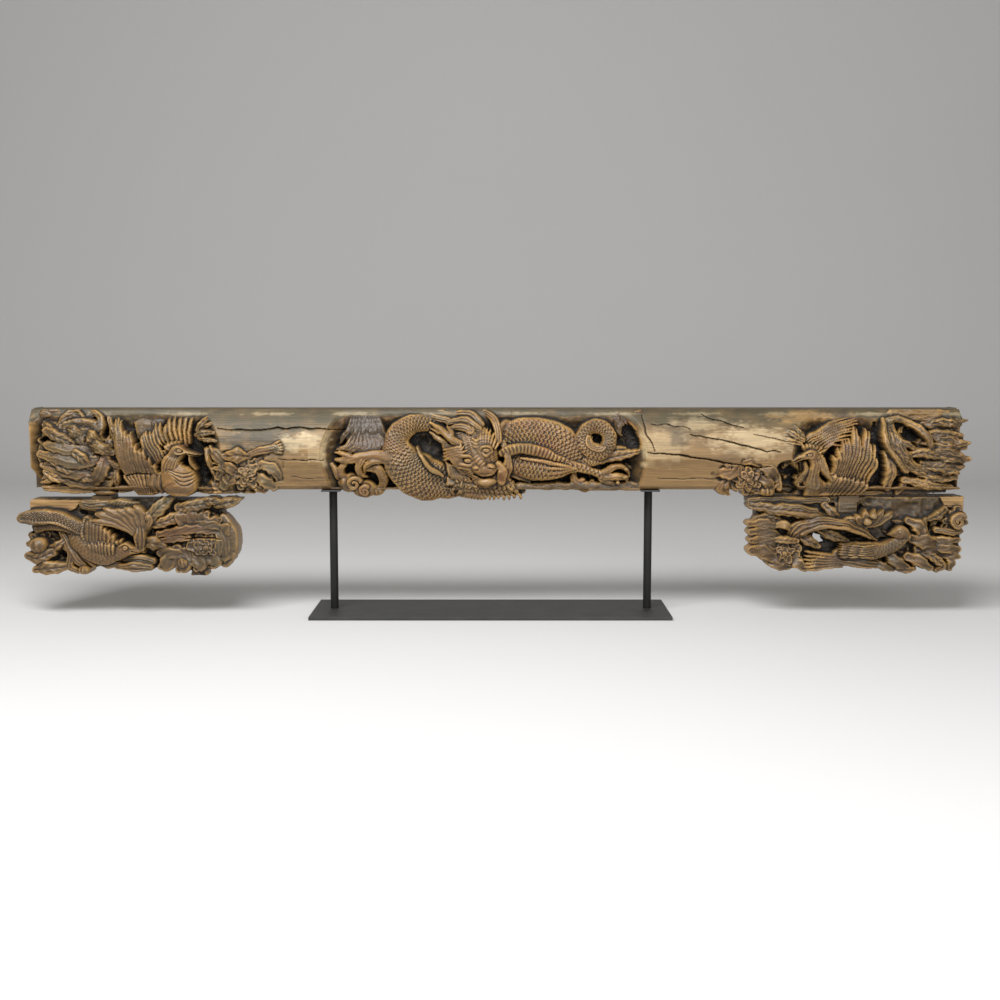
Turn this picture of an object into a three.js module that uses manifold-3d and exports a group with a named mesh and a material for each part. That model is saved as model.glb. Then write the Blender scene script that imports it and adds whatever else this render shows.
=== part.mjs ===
// Carved door lintel on a display stand, in millimetres, +Z up, its carved face towards -Y.
// A half-round log carries a dragon between two phoenixes, and a carved spandrel block hangs under each end.
// Heights of the carved work are measured from the top of the stand's base plate.
import * as THREE from 'three';
import { mergeVertices } from 'three/addons/utils/BufferGeometryUtils.js';
import Module from 'manifold-3d';

const wasm = await Module();
wasm.setup();

// Driving dimensions
const PLATE = { width: 840, depth: 230, thick: 8 };
const POST = { diameter: 19, spacing: 746, sides: 20, y: 5 };
const HEAD_PLATE = { width: 44, depth: 110, thick: 4 };
const STAND_X = -8;
const LOG = { left: -1084, right: 1090, under: 288, top: 475, back: 70 };
const LOG_FACE = { belly: 360, bulge: 72, crownSet: 56, crownPower: 2.2, footSet: 22 };
const SPANDREL = { face: -58, floor: -12, back: 45, top: 263 };
const POCKET = { floor: -6, bevel: 0.85, under: 303, top: 462 };
const TENON = { width: 46, depth: 60 };
const JOINT = { under: 272.3, over: 271 };
const FIT_GAP = 0.3;
const ROOT_SINK = 14;
const WEAR = { shortest: 6, turn: 0.87, planed: 0.999999 };

const WOOD = new THREE.MeshStandardMaterial({ color: 0x8a6a43, roughness: 0.75, metalness: 0 });
const STEEL = new THREE.MeshStandardMaterial({ color: 0x2b2b2a, roughness: 0.6, metalness: 0.4 });

// Six times the signed volume inside a closed set of triangles.
function signedVolume(points, triangles) {
  const corner = (i) => new THREE.Vector3().fromArray(points, 3 * i);
  let total = 0;
  for (let i = 0; i < triangles.length; i += 3) {
    total += corner(triangles[i]).dot(corner(triangles[i + 1]).cross(corner(triangles[i + 2])));
  }
  return total;
}

// A closed geometry as a solid, its faces turned outwards.
function solidOf(geometry) {
  const bare = new THREE.BufferGeometry();
  bare.setAttribute('position', geometry.getAttribute('position'));
  bare.setIndex(geometry.index);
  const merged = mergeVertices(bare, 1e-4);
  const triVerts = new Uint32Array(merged.index.array);
  const vertProperties = merged.attributes.position.array;
  if (signedVolume(vertProperties, triVerts) < 0) triVerts.reverse();
  return new wasm.Manifold(new wasm.Mesh({ numProp: 3, vertProperties, triVerts }));
}

// The largest shell of a closed mesh, so that no sealed hollow stays inside.
function outerShell(triangles, vertexCount) {
  const parent = Array.from({ length: vertexCount }, (_, i) => i);
  const head = (start) => {
    let i = start;
    while (parent[i] !== i) i = parent[i];
    return i;
  };
  for (const [one, two, three] of triangles) {
    parent[head(two)] = head(one);
    parent[head(three)] = head(one);
  }
  const shells = new Map();
  for (const triangle of triangles) {
    const name = head(triangle[0]);
    shells.set(name, [...(shells.get(name) ?? []), triangle]);
  }
  return [...shells.values()].sort((one, other) => other.length - one.length)[0];
}

// Worn carving has no very short arrises: an edge under the given length is drawn to one of its ends,
// where that keeps the surface closed, turns no face by more than a little and leaves the planed faces flat.
function worn(triangles, points, shortest) {
  const around = points.map(() => new Set());
  triangles.forEach((triangle) => triangle.forEach((i) => around[i].add(triangle)));
  const ringOf = (i) => new Set([...around[i]].flat().filter((j) => j !== i));
  const faceOf = (corners) => {
    const face = new THREE.Triangle(...corners.map((i) => points[i]));
    return face.getNormal(new THREE.Vector3());
  };
  const keepsShape = (gone, kept) => [...around[gone]].every((triangle) => {
    if (triangle.includes(kept)) return true;
    const before = faceOf(triangle);
    const after = faceOf(triangle.map((i) => (i === gone ? kept : i)));
    const planed = Math.max(Math.abs(before.x), before.y, Math.abs(before.z)) > WEAR.planed;
    return after.dot(before) > (planed ? WEAR.planed : WEAR.turn);
  });
  const draw = (gone, kept) => {
    const between = [...ringOf(gone)].filter((i) => ringOf(kept).has(i));
    if (between.length !== 2 || !keepsShape(gone, kept)) return false;
    for (const triangle of [...around[gone]]) {
      if (triangle.includes(kept)) {
        triangle.forEach((i) => around[i].delete(triangle));
      } else {
        triangle[triangle.indexOf(gone)] = kept;
        around[kept].add(triangle);
      }
    }
    around[gone].clear();
    return true;
  };
  for (let reach = 1; reach <= shortest; reach += 1) {
    for (let i = 0; i < points.length; i += 1) {
      const near = [...ringOf(i)].filter((j) => points[i].distanceTo(points[j]) < reach);
      near.some((j) => draw(i, j));
    }
  }
  return [...new Set(around.flatMap((set) => [...set]))];
}

// A solid's outer shell as a geometry, with its shortest edges worn away.
function geometryOf(solid) {
  const mesh = solid.getMesh();
  const points = [];
  for (let i = 0; i < mesh.vertProperties.length; i += 3) {
    points.push(new THREE.Vector3().fromArray(mesh.vertProperties, i));
  }
  const triangles = [];
  for (let i = 0; i < mesh.triVerts.length; i += 3) {
    triangles.push([...mesh.triVerts.slice(i, i + 3)]);
  }
  const shell = worn(outerShell(triangles, points.length), points, WEAR.shortest);
  const geometry = new THREE.BufferGeometry();
  geometry.setAttribute('position', new THREE.BufferAttribute(mesh.vertProperties, 3));
  geometry.setIndex(shell.flat());
  return geometry;
}

// Several solids joined pair by pair.
function joined(solids) {
  if (solids.length === 1) return solids[0];
  const half = Math.ceil(solids.length / 2);
  return joined(solids.slice(0, half)).add(joined(solids.slice(half)));
}

// The Y of the log's rounded face at height z: a bulging belly, rolled back above and planed back below.
function logFace(z) {
  const { belly, bulge, crownSet, crownPower, footSet } = LOG_FACE;
  if (z < belly) return -bulge + (footSet * (belly - z)) / (belly - LOG.under);
  return -bulge + crownSet * ((z - belly) / (LOG.top - belly)) ** crownPower;
}

// A flat outline in X and Z, extruded from one Y to another.
function slab(outline, yFront, yBack) {
  const shape = new THREE.Shape(outline.map(([x, z]) => new THREE.Vector2(x, z)));
  const geometry = new THREE.ExtrudeGeometry(shape, { depth: yBack - yFront, bevelEnabled: false });
  geometry.rotateX(Math.PI / 2);
  geometry.translate(0, yBack, 0);
  return solidOf(geometry);
}

function block(x, y, z, width, depth, height) {
  return solidOf(new THREE.BoxGeometry(width, depth, height).translate(x, y, z));
}

// A carver works on one ground: face(z) is the surface that depths are measured from, floor the ground's Y.
// Every stroke narrows behind to a keel that is rooted in the ground, as undercut relief is.
function carver(face, floor) {
  const solids = [];
  const keelY = floor + ROOT_SINK;
  const spot = (x, z, d) => new THREE.Vector3(x, face(z) + d, z);

  // A stroke along a curve. Each row is x, z, depth of the middle behind the face, and half width.
  // flat is the front thickness as a share of the half width. All but one of the sides make the front.
  function limb(rows, flat = 0.7, sides = 4, steps = rows.length - 1) {
    const curve = new THREE.CatmullRomCurve3(rows.map(([x, z, d]) => spot(x, z, d)));
    const widths = new THREE.CatmullRomCurve3(rows.map((row) => new THREE.Vector3(row[3], 0, 0)));
    const geometry = new THREE.CylinderGeometry(1, 1, 1, sides, steps);
    const at = geometry.getAttribute('position');
    for (let i = 0; i < at.count; i += 1) {
      const t = THREE.MathUtils.clamp(0.5 - at.getY(i), 0, 1);
      const middle = curve.getPoint(t);
      const along = curve.getTangent(t);
      const side = new THREE.Vector3(along.z, 0, -along.x).normalize();
      const half = Math.max(widths.getPoint(t).x, 1);
      if (Math.hypot(at.getX(i), at.getZ(i)) > 0.5) {
        const turn = Math.atan2(at.getX(i), at.getZ(i)) / (2 * Math.PI);
        const k = Math.round((turn < 0 ? turn + 1 : turn) * sides) % sides;
        const angle = (Math.PI * k) / (sides - 2);
        if (k === sides - 1) {
          middle.y = Math.max(keelY, middle.y + half * flat);
        } else {
          middle.addScaledVector(side, half * Math.cos(angle));
          middle.y -= half * flat * Math.sin(angle);
        }
      }
      at.setXYZ(i, middle.x, middle.y, middle.z);
    }
    solids.push(solidOf(geometry));
  }

  // A rounded boss, an ellipsoid with half sizes rx, ry, rz.
  function boss(x, z, d, rx, ry, rz, around = 6, high = 4) {
    const ball = new THREE.SphereGeometry(1, around, high).rotateX(Math.PI / 2).scale(rx, ry, rz);
    const middle = spot(x, z, d);
    solids.push(solidOf(ball.translate(middle.x, middle.y, middle.z)));
  }

  // A ribbed patch, as a wing's feathers or a fan of lobes: roots and tips are quadratic curves in x and z,
  // depth is given at the roots and at the tips, and grooves lie deeper than the ribs between them.
  function fan({ roots, tips, count, depth = [18, 8], groove = 9, bow = 0, steps = 2 }) {
    const flatPoint = ([x, z]) => new THREE.Vector2(x, z);
    const curveOf = (points) => new THREE.QuadraticBezierCurve(...points.map(flatPoint));
    const rootCurve = curveOf(roots);
    const tipCurve = curveOf(tips);
    const heart = rootCurve.getPoint(0.5).lerp(tipCurve.getPoint(0.5), 0.5);
    const geometry = new THREE.BoxGeometry(1, 1, 1, 2 * count, 1, steps);
    const at = geometry.getAttribute('position');
    for (let i = 0; i < at.count; i += 1) {
      const u = at.getX(i) + 0.5;
      const v = at.getZ(i) + 0.5;
      const rib = Math.round(u * 2 * count) % 2;
      const root = rootCurve.getPoint(u);
      const tip = tipCurve.getPoint(u);
      const across = new THREE.Vector2(root.y - tip.y, tip.x - root.x).normalize();
      const place = root.lerp(tip, rib ? v : v * 0.86);
      place.addScaledVector(across, bow * Math.sin(Math.PI * v));
      if (at.getY(i) < 0) {
        const sunk = rib ? 0 : groove * v;
        const middle = spot(place.x, place.y, THREE.MathUtils.lerp(depth[0], depth[1], v) + sunk);
        at.setXYZ(i, middle.x, middle.y, middle.z);
      } else {
        place.lerp(heart, 0.3);
        at.setXYZ(i, place.x, keelY, place.y);
      }
    }
    solids.push(solidOf(geometry));
  }

  // An open flower: a ring of petals round a cup with a raised middle.
  function rosette(x, z, d, radius, stretch = 1, petals = 6) {
    const reach = [0, 0.25, 0.6, 1, 0.6, 0];
    const sink = [-0.05, 0.1, -0.15, 0.25];
    const rings = reach.length - 1;
    const geometry = new THREE.SphereGeometry(1, 2 * petals, rings);
    const at = geometry.getAttribute('position');
    for (let i = 0; i < at.count; i += 1) {
      const ring = Math.round((Math.acos(THREE.MathUtils.clamp(at.getY(i), -1, 1)) / Math.PI) * rings);
      const angle = Math.atan2(at.getZ(i), at.getX(i));
      const rib = Math.round((angle / Math.PI) * petals) % 2 !== 0;
      const lobe = ring === 3 && !rib ? 0.8 : 1;
      const notch = ring === 2 && rib ? 0.2 : 0;
      const span = radius * reach[ring] * lobe;
      const middle = spot(x + span * stretch * Math.cos(angle), z + span * Math.sin(angle), 0);
      middle.y = ring > 3 ? keelY : spot(x, z, d + radius * (sink[ring] + notch)).y;
      at.setXYZ(i, middle.x, middle.y, middle.z);
    }
    solids.push(solidOf(geometry));
  }

  return { solids, limb, boss, fan, rosette };
}

// The dragon: a scaled body that loops, a head turned to the front, two legs and a coiled tail.
function dragon({ limb, boss, fan }) {
  limb([[-126, 425, 34, 16], [-161, 436, 28, 20], [-191, 438, 22, 23], [-219.5, 418, 20, 27],
    [-227.5, 385, 20, 33], [-206, 345, 22, 48], [-166, 320, 24, 50], [-118.5, 305, 30, 40],
    [-60.5, 292, 34, 22]], 0.6, 7, 9);
  limb([[-151, 285, 30, 13], [-100.5, 285, 26, 15], [-40, 285, 22, 16], [20, 283, 26, 14],
    [66.5, 282, 34, 7]], 0.9, 5, 4);
  limb([[10, 385, 36, 30], [50.5, 408, 28, 42], [100.5, 410, 24, 46], [151, 398, 24, 44],
    [183, 372, 28, 34], [206, 352, 34, 18]], 0.6, 7, 6);
  limb([[60.5, 352, 26, 30], [100.5, 344, 18, 34], [141, 338, 14, 26], [181, 342, 12, 15],
    [213.5, 336, 12, 11], [246.5, 323, 12, 12], [269.5, 318, 14, 10]], 0.7, 5, 6);
  tailCoil(limb);
  limb([[251.5, 362, 28, 12], [291.5, 369, 26, 13], [322, 375, 24, 10], [344, 376, 26, 3]], 0.5);
  dragonHead(limb, boss, fan);
  // Hind claws
  limb([[263.5, 328, 14, 6], [286.5, 342, 10, 6], [306, 336, 10, 5], [312, 316, 12, 2]]);
  limb([[263.5, 318, 12, 7], [286.5, 318, 8, 8], [304, 312, 10, 5], [310, 302, 14, 2]]);
  limb([[256.5, 312, 14, 7], [276.5, 304, 10, 6], [291.5, 297, 14, 2]]);
  limb([[183, 325, 26, 9], [191, 302, 18, 10], [213.5, 291, 16, 10], [227.5, 306, 20, 6]]);
  // Fore leg and its claws over the cloud scrolls
  limb([[-229.5, 350, 24, 20], [-263.5, 366, 16, 13], [-302, 368, 14, 11], [-337, 360, 14, 10],
    [-366, 352, 16, 4]]);
  limb([[-307, 362, 12, 8], [-314, 342, 10, 8], [-306, 323, 12, 5], [-294, 318, 14, 2]]);
  limb([[-251.5, 356, 14, 8], [-279.5, 356, 10, 8], [-298, 344, 10, 7], [-300, 328, 12, 3]]);
  limb([[-294, 340, 18, 10], [-269.5, 336, 14, 11], [-259.5, 312, 16, 10], [-269.5, 290, 20, 6]]);
  limb([[-347, 352, 16, 6], [-354, 335, 16, 7], [-350, 318, 18, 7], [-338, 305, 20, 5]]);
  boss(-302, 292, 20, 30, 24, 21);
  boss(-336, 306, 24, 28, 24, 24);
  limb([[-340, 388, 34, 15], [-307, 398, 30, 18], [-269.5, 392, 32, 18]], 0.6);
  limb([[-304, 468, 34, 26], [-302, 440, 36, 30], [-302, 412, 38, 24]], 0.4);
}

// The tail rolls up in one turn and a little more.
function tailCoil(limb) {
  const middle = { x: 238, z: 404 };
  const stations = 11;
  const rows = [];
  for (let i = 0; i < stations; i += 1) {
    const t = i / (stations - 1);
    const angle = -1.9 + t * 7.2;
    const radius = 32 - 12 * t;
    const x = middle.x + radius * Math.cos(angle);
    const z = middle.z + radius * Math.sin(angle);
    rows.push([x, z, 24 + 6 * t, 17 - 8 * t]);
  }
  limb(rows, 0.9, 5, 11);
}

function dragonHead(limb, boss, fan) {
  limb([[-62.5, 452, 36, 26], [-60.5, 425, 28, 44], [-48.5, 388, 20, 54], [-30, 352, 12, 44],
    [-16, 326, 10, 33], [-10, 304, 16, 24]], 0.6, 7, 5);
  boss(-20, 338, -8, 32, 16, 15);
  boss(-12, 308, 2, 32, 18, 12);
  boss(-15, 383, -10, 12, 10, 12, 6, 4);
  boss(-64.5, 361, -8, 13, 10, 12, 6, 4);
  limb([[-42.5, 398, -8, 6], [-18, 406, -14, 7], [6, 390, -6, 6], [12, 358, 2, 5], [24, 320, 6, 8]]);
  limb([[-108.5, 372, 6, 5], [-85.5, 380, -6, 7], [-60.5, 380, -10, 7], [-44.5, 366, -10, 5]]);
  // Horns and ears
  limb([[-76.5, 418, 6, 9], [-105.5, 430, 6, 9], [-133, 447, 12, 8], [-159, 457, 18, 3]]);
  limb([[-92.5, 408, 10, 9], [-118.5, 418, 10, 9], [-141, 436, 16, 7], [-153, 448, 22, 3]]);
  limb([[-30, 436, 6, 10], [-48.5, 452, 10, 9], [-72.5, 458, 14, 8], [-100.5, 455, 18, 4]]);
  limb([[-38, 412, -2, 7], [-22, 440, 4, 8], [2, 432, 6, 8], [2, 412, 4, 6], [-16, 418, 0, 5]], 0.7, 4, 6);
  // Cheek fringe and beard
  fan({ roots: [[-112.5, 366], [-95.5, 355], [-70.5, 335]], tips: [[-92.5, 322], [-80.5, 300],
    [-45.5, 300]], count: 4, depth: [10, 8] });
  fan({ roots: [[-30, 305], [0, 300], [28, 305]], tips: [[-45.5, 278], [0, 272], [45.5, 284]], count: 5,
    depth: [14, 8] });
}

// The left phoenix, its breast to the front and its head turned to the middle.
function leftPhoenix({ limb, boss, fan }) {
  limb([[-746.5, 362, 22, 18], [-742.5, 335, 16, 36], [-732.5, 305, 14, 45],
    [-729.5, 284, 20, 34]], 0.6, 6, 4);
  limb([[-726.5, 382, 8, 17], [-742.5, 358, 8, 22], [-750.5, 332, 12, 26]], 0.7);
  boss(-726.5, 381, 0, 21, 18, 17);
  limb([[-742.5, 392, 10, 7], [-726.5, 402, 6, 7], [-710, 396, 8, 3]]);
  limb([[-714.5, 378, 0, 9], [-694, 374, 0, 6], [-677, 368, 4, 2]]);
  limb([[-708, 370, 4, 6], [-703, 352, 6, 6], [-698, 338, 12, 2]]);
  fan({ roots: [[-861, 325], [-835, 305], [-792.5, 312]], tips: [[-881.5, 456], [-850, 425],
    [-803, 378]], count: 7, bow: 4 });
  fan({ roots: [[-840, 284], [-817, 276], [-789.5, 290]], tips: [[-860, 330], [-825, 336],
    [-779.5, 330]], count: 4, depth: [22, 12] });
  fan({ roots: [[-786.5, 352], [-756.5, 372], [-706, 402]], tips: [[-811, 402], [-794.5, 446],
    [-709, 462]], count: 8, depth: [30, 16], bow: 5 });
  limb([[-850, 290, 22, 8], [-875, 285, 24, 6], [-895.5, 282, 28, 3]], 0.5);
  fan({ roots: [[-694, 418], [-692, 425], [-690, 432]], tips: [[-650, 412], [-644, 432],
    [-664, 458]], count: 4, depth: [22, 14] });
  limb([[-668, 388, 20, 5], [-660, 355, 14, 6], [-650, 325, 14, 6], [-646, 298, 18, 7]]);
  limb([[-654, 386, 14, 4], [-638, 352, 10, 5], [-625.5, 328, 14, 3]]);
  boss(-647, 291, 14, 15, 14, 15, 6, 4);
  limb([[-694, 290, 26, 8], [-664, 284, 18, 8], [-623.5, 284, 16, 8], [-563.5, 280, 18, 5]], 0.6);
}

// The right phoenix, its neck bent and its head low towards the middle.
function rightPhoenix({ limb, boss, fan }) {
  boss(732.5, 365, 4, 19, 17, 15);
  limb([[718.5, 360, 2, 8], [696, 355, 4, 6], [678, 344, 10, 2]]);
  limb([[746.5, 364, 8, 11], [750.5, 335, 10, 12], [742.5, 310, 12, 16], [756.5, 288, 14, 28]], 0.8);
  boss(756.5, 284, 16, 40, 30, 23);
  limb([[702, 348, 10, 5], [718.5, 346, 6, 6], [726.5, 328, 8, 6], [716.5, 312, 12, 7], [701, 318, 12, 7]]);
  limb([[756.5, 352, 12, 5], [762.5, 328, 8, 6], [778.5, 320, 10, 5], [797, 328, 14, 2]]);
  limb([[754.5, 326, 12, 5], [768.5, 310, 8, 6], [788.5, 306, 12, 4]]);
  fan({ roots: [[708, 398], [719.5, 388], [752.5, 378]], tips: [[837, 450], [827, 425],
    [800, 400]], count: 5, depth: [24, 18], bow: 9 });
  fan({ roots: [[786.5, 312], [805, 290], [855, 296]], tips: [[794.5, 365], [840, 470],
    [885.5, 370]], count: 8, bow: -4 });
  fan({ roots: [[774.5, 290], [800, 276], [835, 276]], tips: [[794.5, 318], [820, 306],
    [855, 300]], count: 4, depth: [22, 12] });
  limb([[825, 277, 20, 6], [867, 275, 20, 7], [913.5, 276, 26, 3]], 0.5);
  fan({ roots: [[712, 408], [708, 405], [704, 398]], tips: [[694, 440], [666, 432], [662, 412]], count: 4,
    depth: [22, 14] });
}

// Peonies and buds that lie over the plain lengths of the log.
function beamFlowers({ limb, boss, rosette }) {
  rosette(-569.5, 330, 0, 46);
  limb([[-619.5, 360, 6, 8], [-593.5, 372, 0, 15], [-565.5, 368, 4, 10]], 0.4);
  limb([[-551.5, 318, 4, 10], [-523, 316, -4, 20], [-499, 312, 4, 12]], 0.4);
  limb([[-629, 300, 10, 10], [-611.5, 318, 4, 14], [-603.5, 345, 8, 9]], 0.4);
  limb([[-558.5, 380, 8, 5], [-531, 385, 6, 7], [-505, 388, 2, 12], [-491, 388, 6, 9]], 0.7);
  rosette(587.5, 316, 0, 34, 1, 5);
  limb([[515, 322, 10, 8], [539, 322, 2, 17], [563.5, 332, 6, 10]], 0.4);
  limb([[541, 308, 8, 12], [536, 288, 4, 17], [548.5, 277, 10, 7]], 0.5);
  boss(636, 322, 4, 25, 18, 25);
  boss(638, 290, 10, 23, 20, 17);
  limb([[575.5, 346, 8, 6], [593.5, 354, 4, 9], [615.5, 346, 8, 6]], 0.5);
}

// The worn leaf clusters at the log's two ends: a curled leaf over layered fronds.
function leftEndLeaves({ limb, boss }) {
  limb([[-1056.5, 462, 16, 12], [-1006, 462, 10, 15], [-955.5, 462, 8, 13], [-917.5, 455, 10, 11],
    [-923.5, 425, 12, 11], [-955.5, 415, 12, 12], [-978, 432, 14, 11]], 0.7, 4, 7);
  limb([[-910.5, 468, 18, 8], [-898.5, 440, 14, 9], [-885.5, 412, 16, 11], [-893.5, 386, 14, 17],
    [-925.5, 382, 12, 20], [-966, 392, 14, 16]], 0.6);
  limb([[-963.5, 428, 16, 15], [-991, 412, 14, 18], [-1026, 418, 16, 16], [-1054.5, 424, 22, 9]], 0.6);
  const fronds = 5;
  for (let i = 0; i < fronds; i += 1) {
    const z = 388 - 19 * i;
    const inner = -941 - 8 * (i % 2);
    limb([[-1056 + 4 * i, z - 6, 22, 9], [-1011, z, 16 - 2 * i, 13], [-976, z - 3, 14, 13],
      [inner, z - 10, 20, 8]], 0.6);
  }
  limb([[-903.5, 358, 16, 13], [-917.5, 328, 12, 20], [-943.5, 298, 18, 13]], 0.5);
  limb([[-891.5, 338, 22, 11], [-898.5, 305, 22, 10], [-891.5, 286, 26, 6]], 0.6);
  boss(-910.5, 281, 24, 27, 22, 8.5, 6, 4);
}

function rightEndLeaves({ limb }) {
  limb([[910.5, 440, 20, 11], [917.5, 412, 12, 20], [937.5, 382, 10, 24], [968, 352, 12, 20],
    [1016, 326, 14, 15], [1068.5, 312, 20, 8]], 0.5);
  limb([[935.5, 440, 18, 12], [971, 442, 14, 12], [1006, 426, 14, 14], [1046, 414, 16, 12],
    [1088.5, 412, 24, 8]], 0.6);
  limb([[930.5, 405, 16, 12], [960.5, 396, 14, 12], [991, 384, 16, 10]], 0.6);
  const strata = 4;
  for (let i = 0; i < strata; i += 1) {
    const z = 448 - 26 * i;
    const reach = 1098 + 16 * (i / (strata - 1)) ** 2;
    limb([[991 + 8 * i, z - 8, 22, 9], [1036, z - 4, 16, 13], [1070, z - 8, 16, 12],
      [reach, z - 10, 26, 10]], 0.6);
  }
  limb([[953.5, 312, 14, 9], [1006, 300, 12, 13], [1058.5, 294, 20, 9]], 0.5);
  limb([[910.5, 366, 22, 10], [919.5, 330, 16, 17], [919.5, 298, 18, 11]], 0.5);
  limb([[961.5, 318, 26, 8], [955.5, 298, 20, 8], [945.5, 280, 22, 6]], 0.6);
}

// The log with its carved face: pockets are cut first, and the figures stand in them.
function beamGeometry() {
  const steps = 7;
  const profile = new THREE.Shape();
  profile.moveTo(LOG.back, LOG.top);
  profile.lineTo(LOG.back, LOG.under);
  profile.lineTo(logFace(LOG.under) + 10, LOG.under);
  profile.lineTo(logFace(LOG.under + 9), LOG.under + 9);
  profile.lineTo(logFace(LOG_FACE.belly), LOG_FACE.belly);
  for (let i = 1; i <= steps; i += 1) {
    const z = LOG_FACE.belly + ((LOG.top - LOG_FACE.belly) * i) / steps;
    profile.lineTo(logFace(z), z);
  }
  const raw = new THREE.ExtrudeGeometry(profile, { depth: LOG.right - LOG.left, bevelEnabled: false });
  const alongX = new THREE.Matrix4().makeBasis(
    new THREE.Vector3(0, 1, 0), new THREE.Vector3(0, 0, 1), new THREE.Vector3(1, 0, 0));
  raw.applyMatrix4(alongX).translate(LOG.left, 0, 0);
  const cuts = [
    pocket(-348, 302, POCKET.under),
    pocket(-1052, -644, POCKET.under - 8),
    pocket(652, 1074, POCKET.under - 8),
    slab([[LOG.left - 10, 350], [LOG.left - 10, 270], [LOG.left + 38, 270]], -120, 120),
  ];
  const carved = carver(logFace, POCKET.floor);
  dragon(carved);
  leftPhoenix(carved);
  rightPhoenix(carved);
  beamFlowers(carved);
  leftEndLeaves(carved);
  rightEndLeaves(carved);
  const ground = solidOf(raw).subtract(joined(cuts));
  const overSpandrels = [-1, 1].map((sign) => block(sign * 850, 0, JOINT.under - 50, 580, 300, 100));
  return geometryOf(joined([ground, ...carved.solids]).subtract(joined(overSpandrels)));
}

// A pocket in the log's face between two heights, with bevelled ends.
function pocket(left, right, under) {
  const front = -130;
  const splay = POCKET.bevel * (POCKET.floor - front);
  const plan = new THREE.Shape([
    new THREE.Vector2(left, POCKET.floor),
    new THREE.Vector2(left - splay, front),
    new THREE.Vector2(right + splay, front),
    new THREE.Vector2(right, POCKET.floor),
  ]);
  const geometry = new THREE.ExtrudeGeometry(plan, { depth: POCKET.top - under, bevelEnabled: false });
  return solidOf(geometry.translate(0, 0, under));
}

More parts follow.
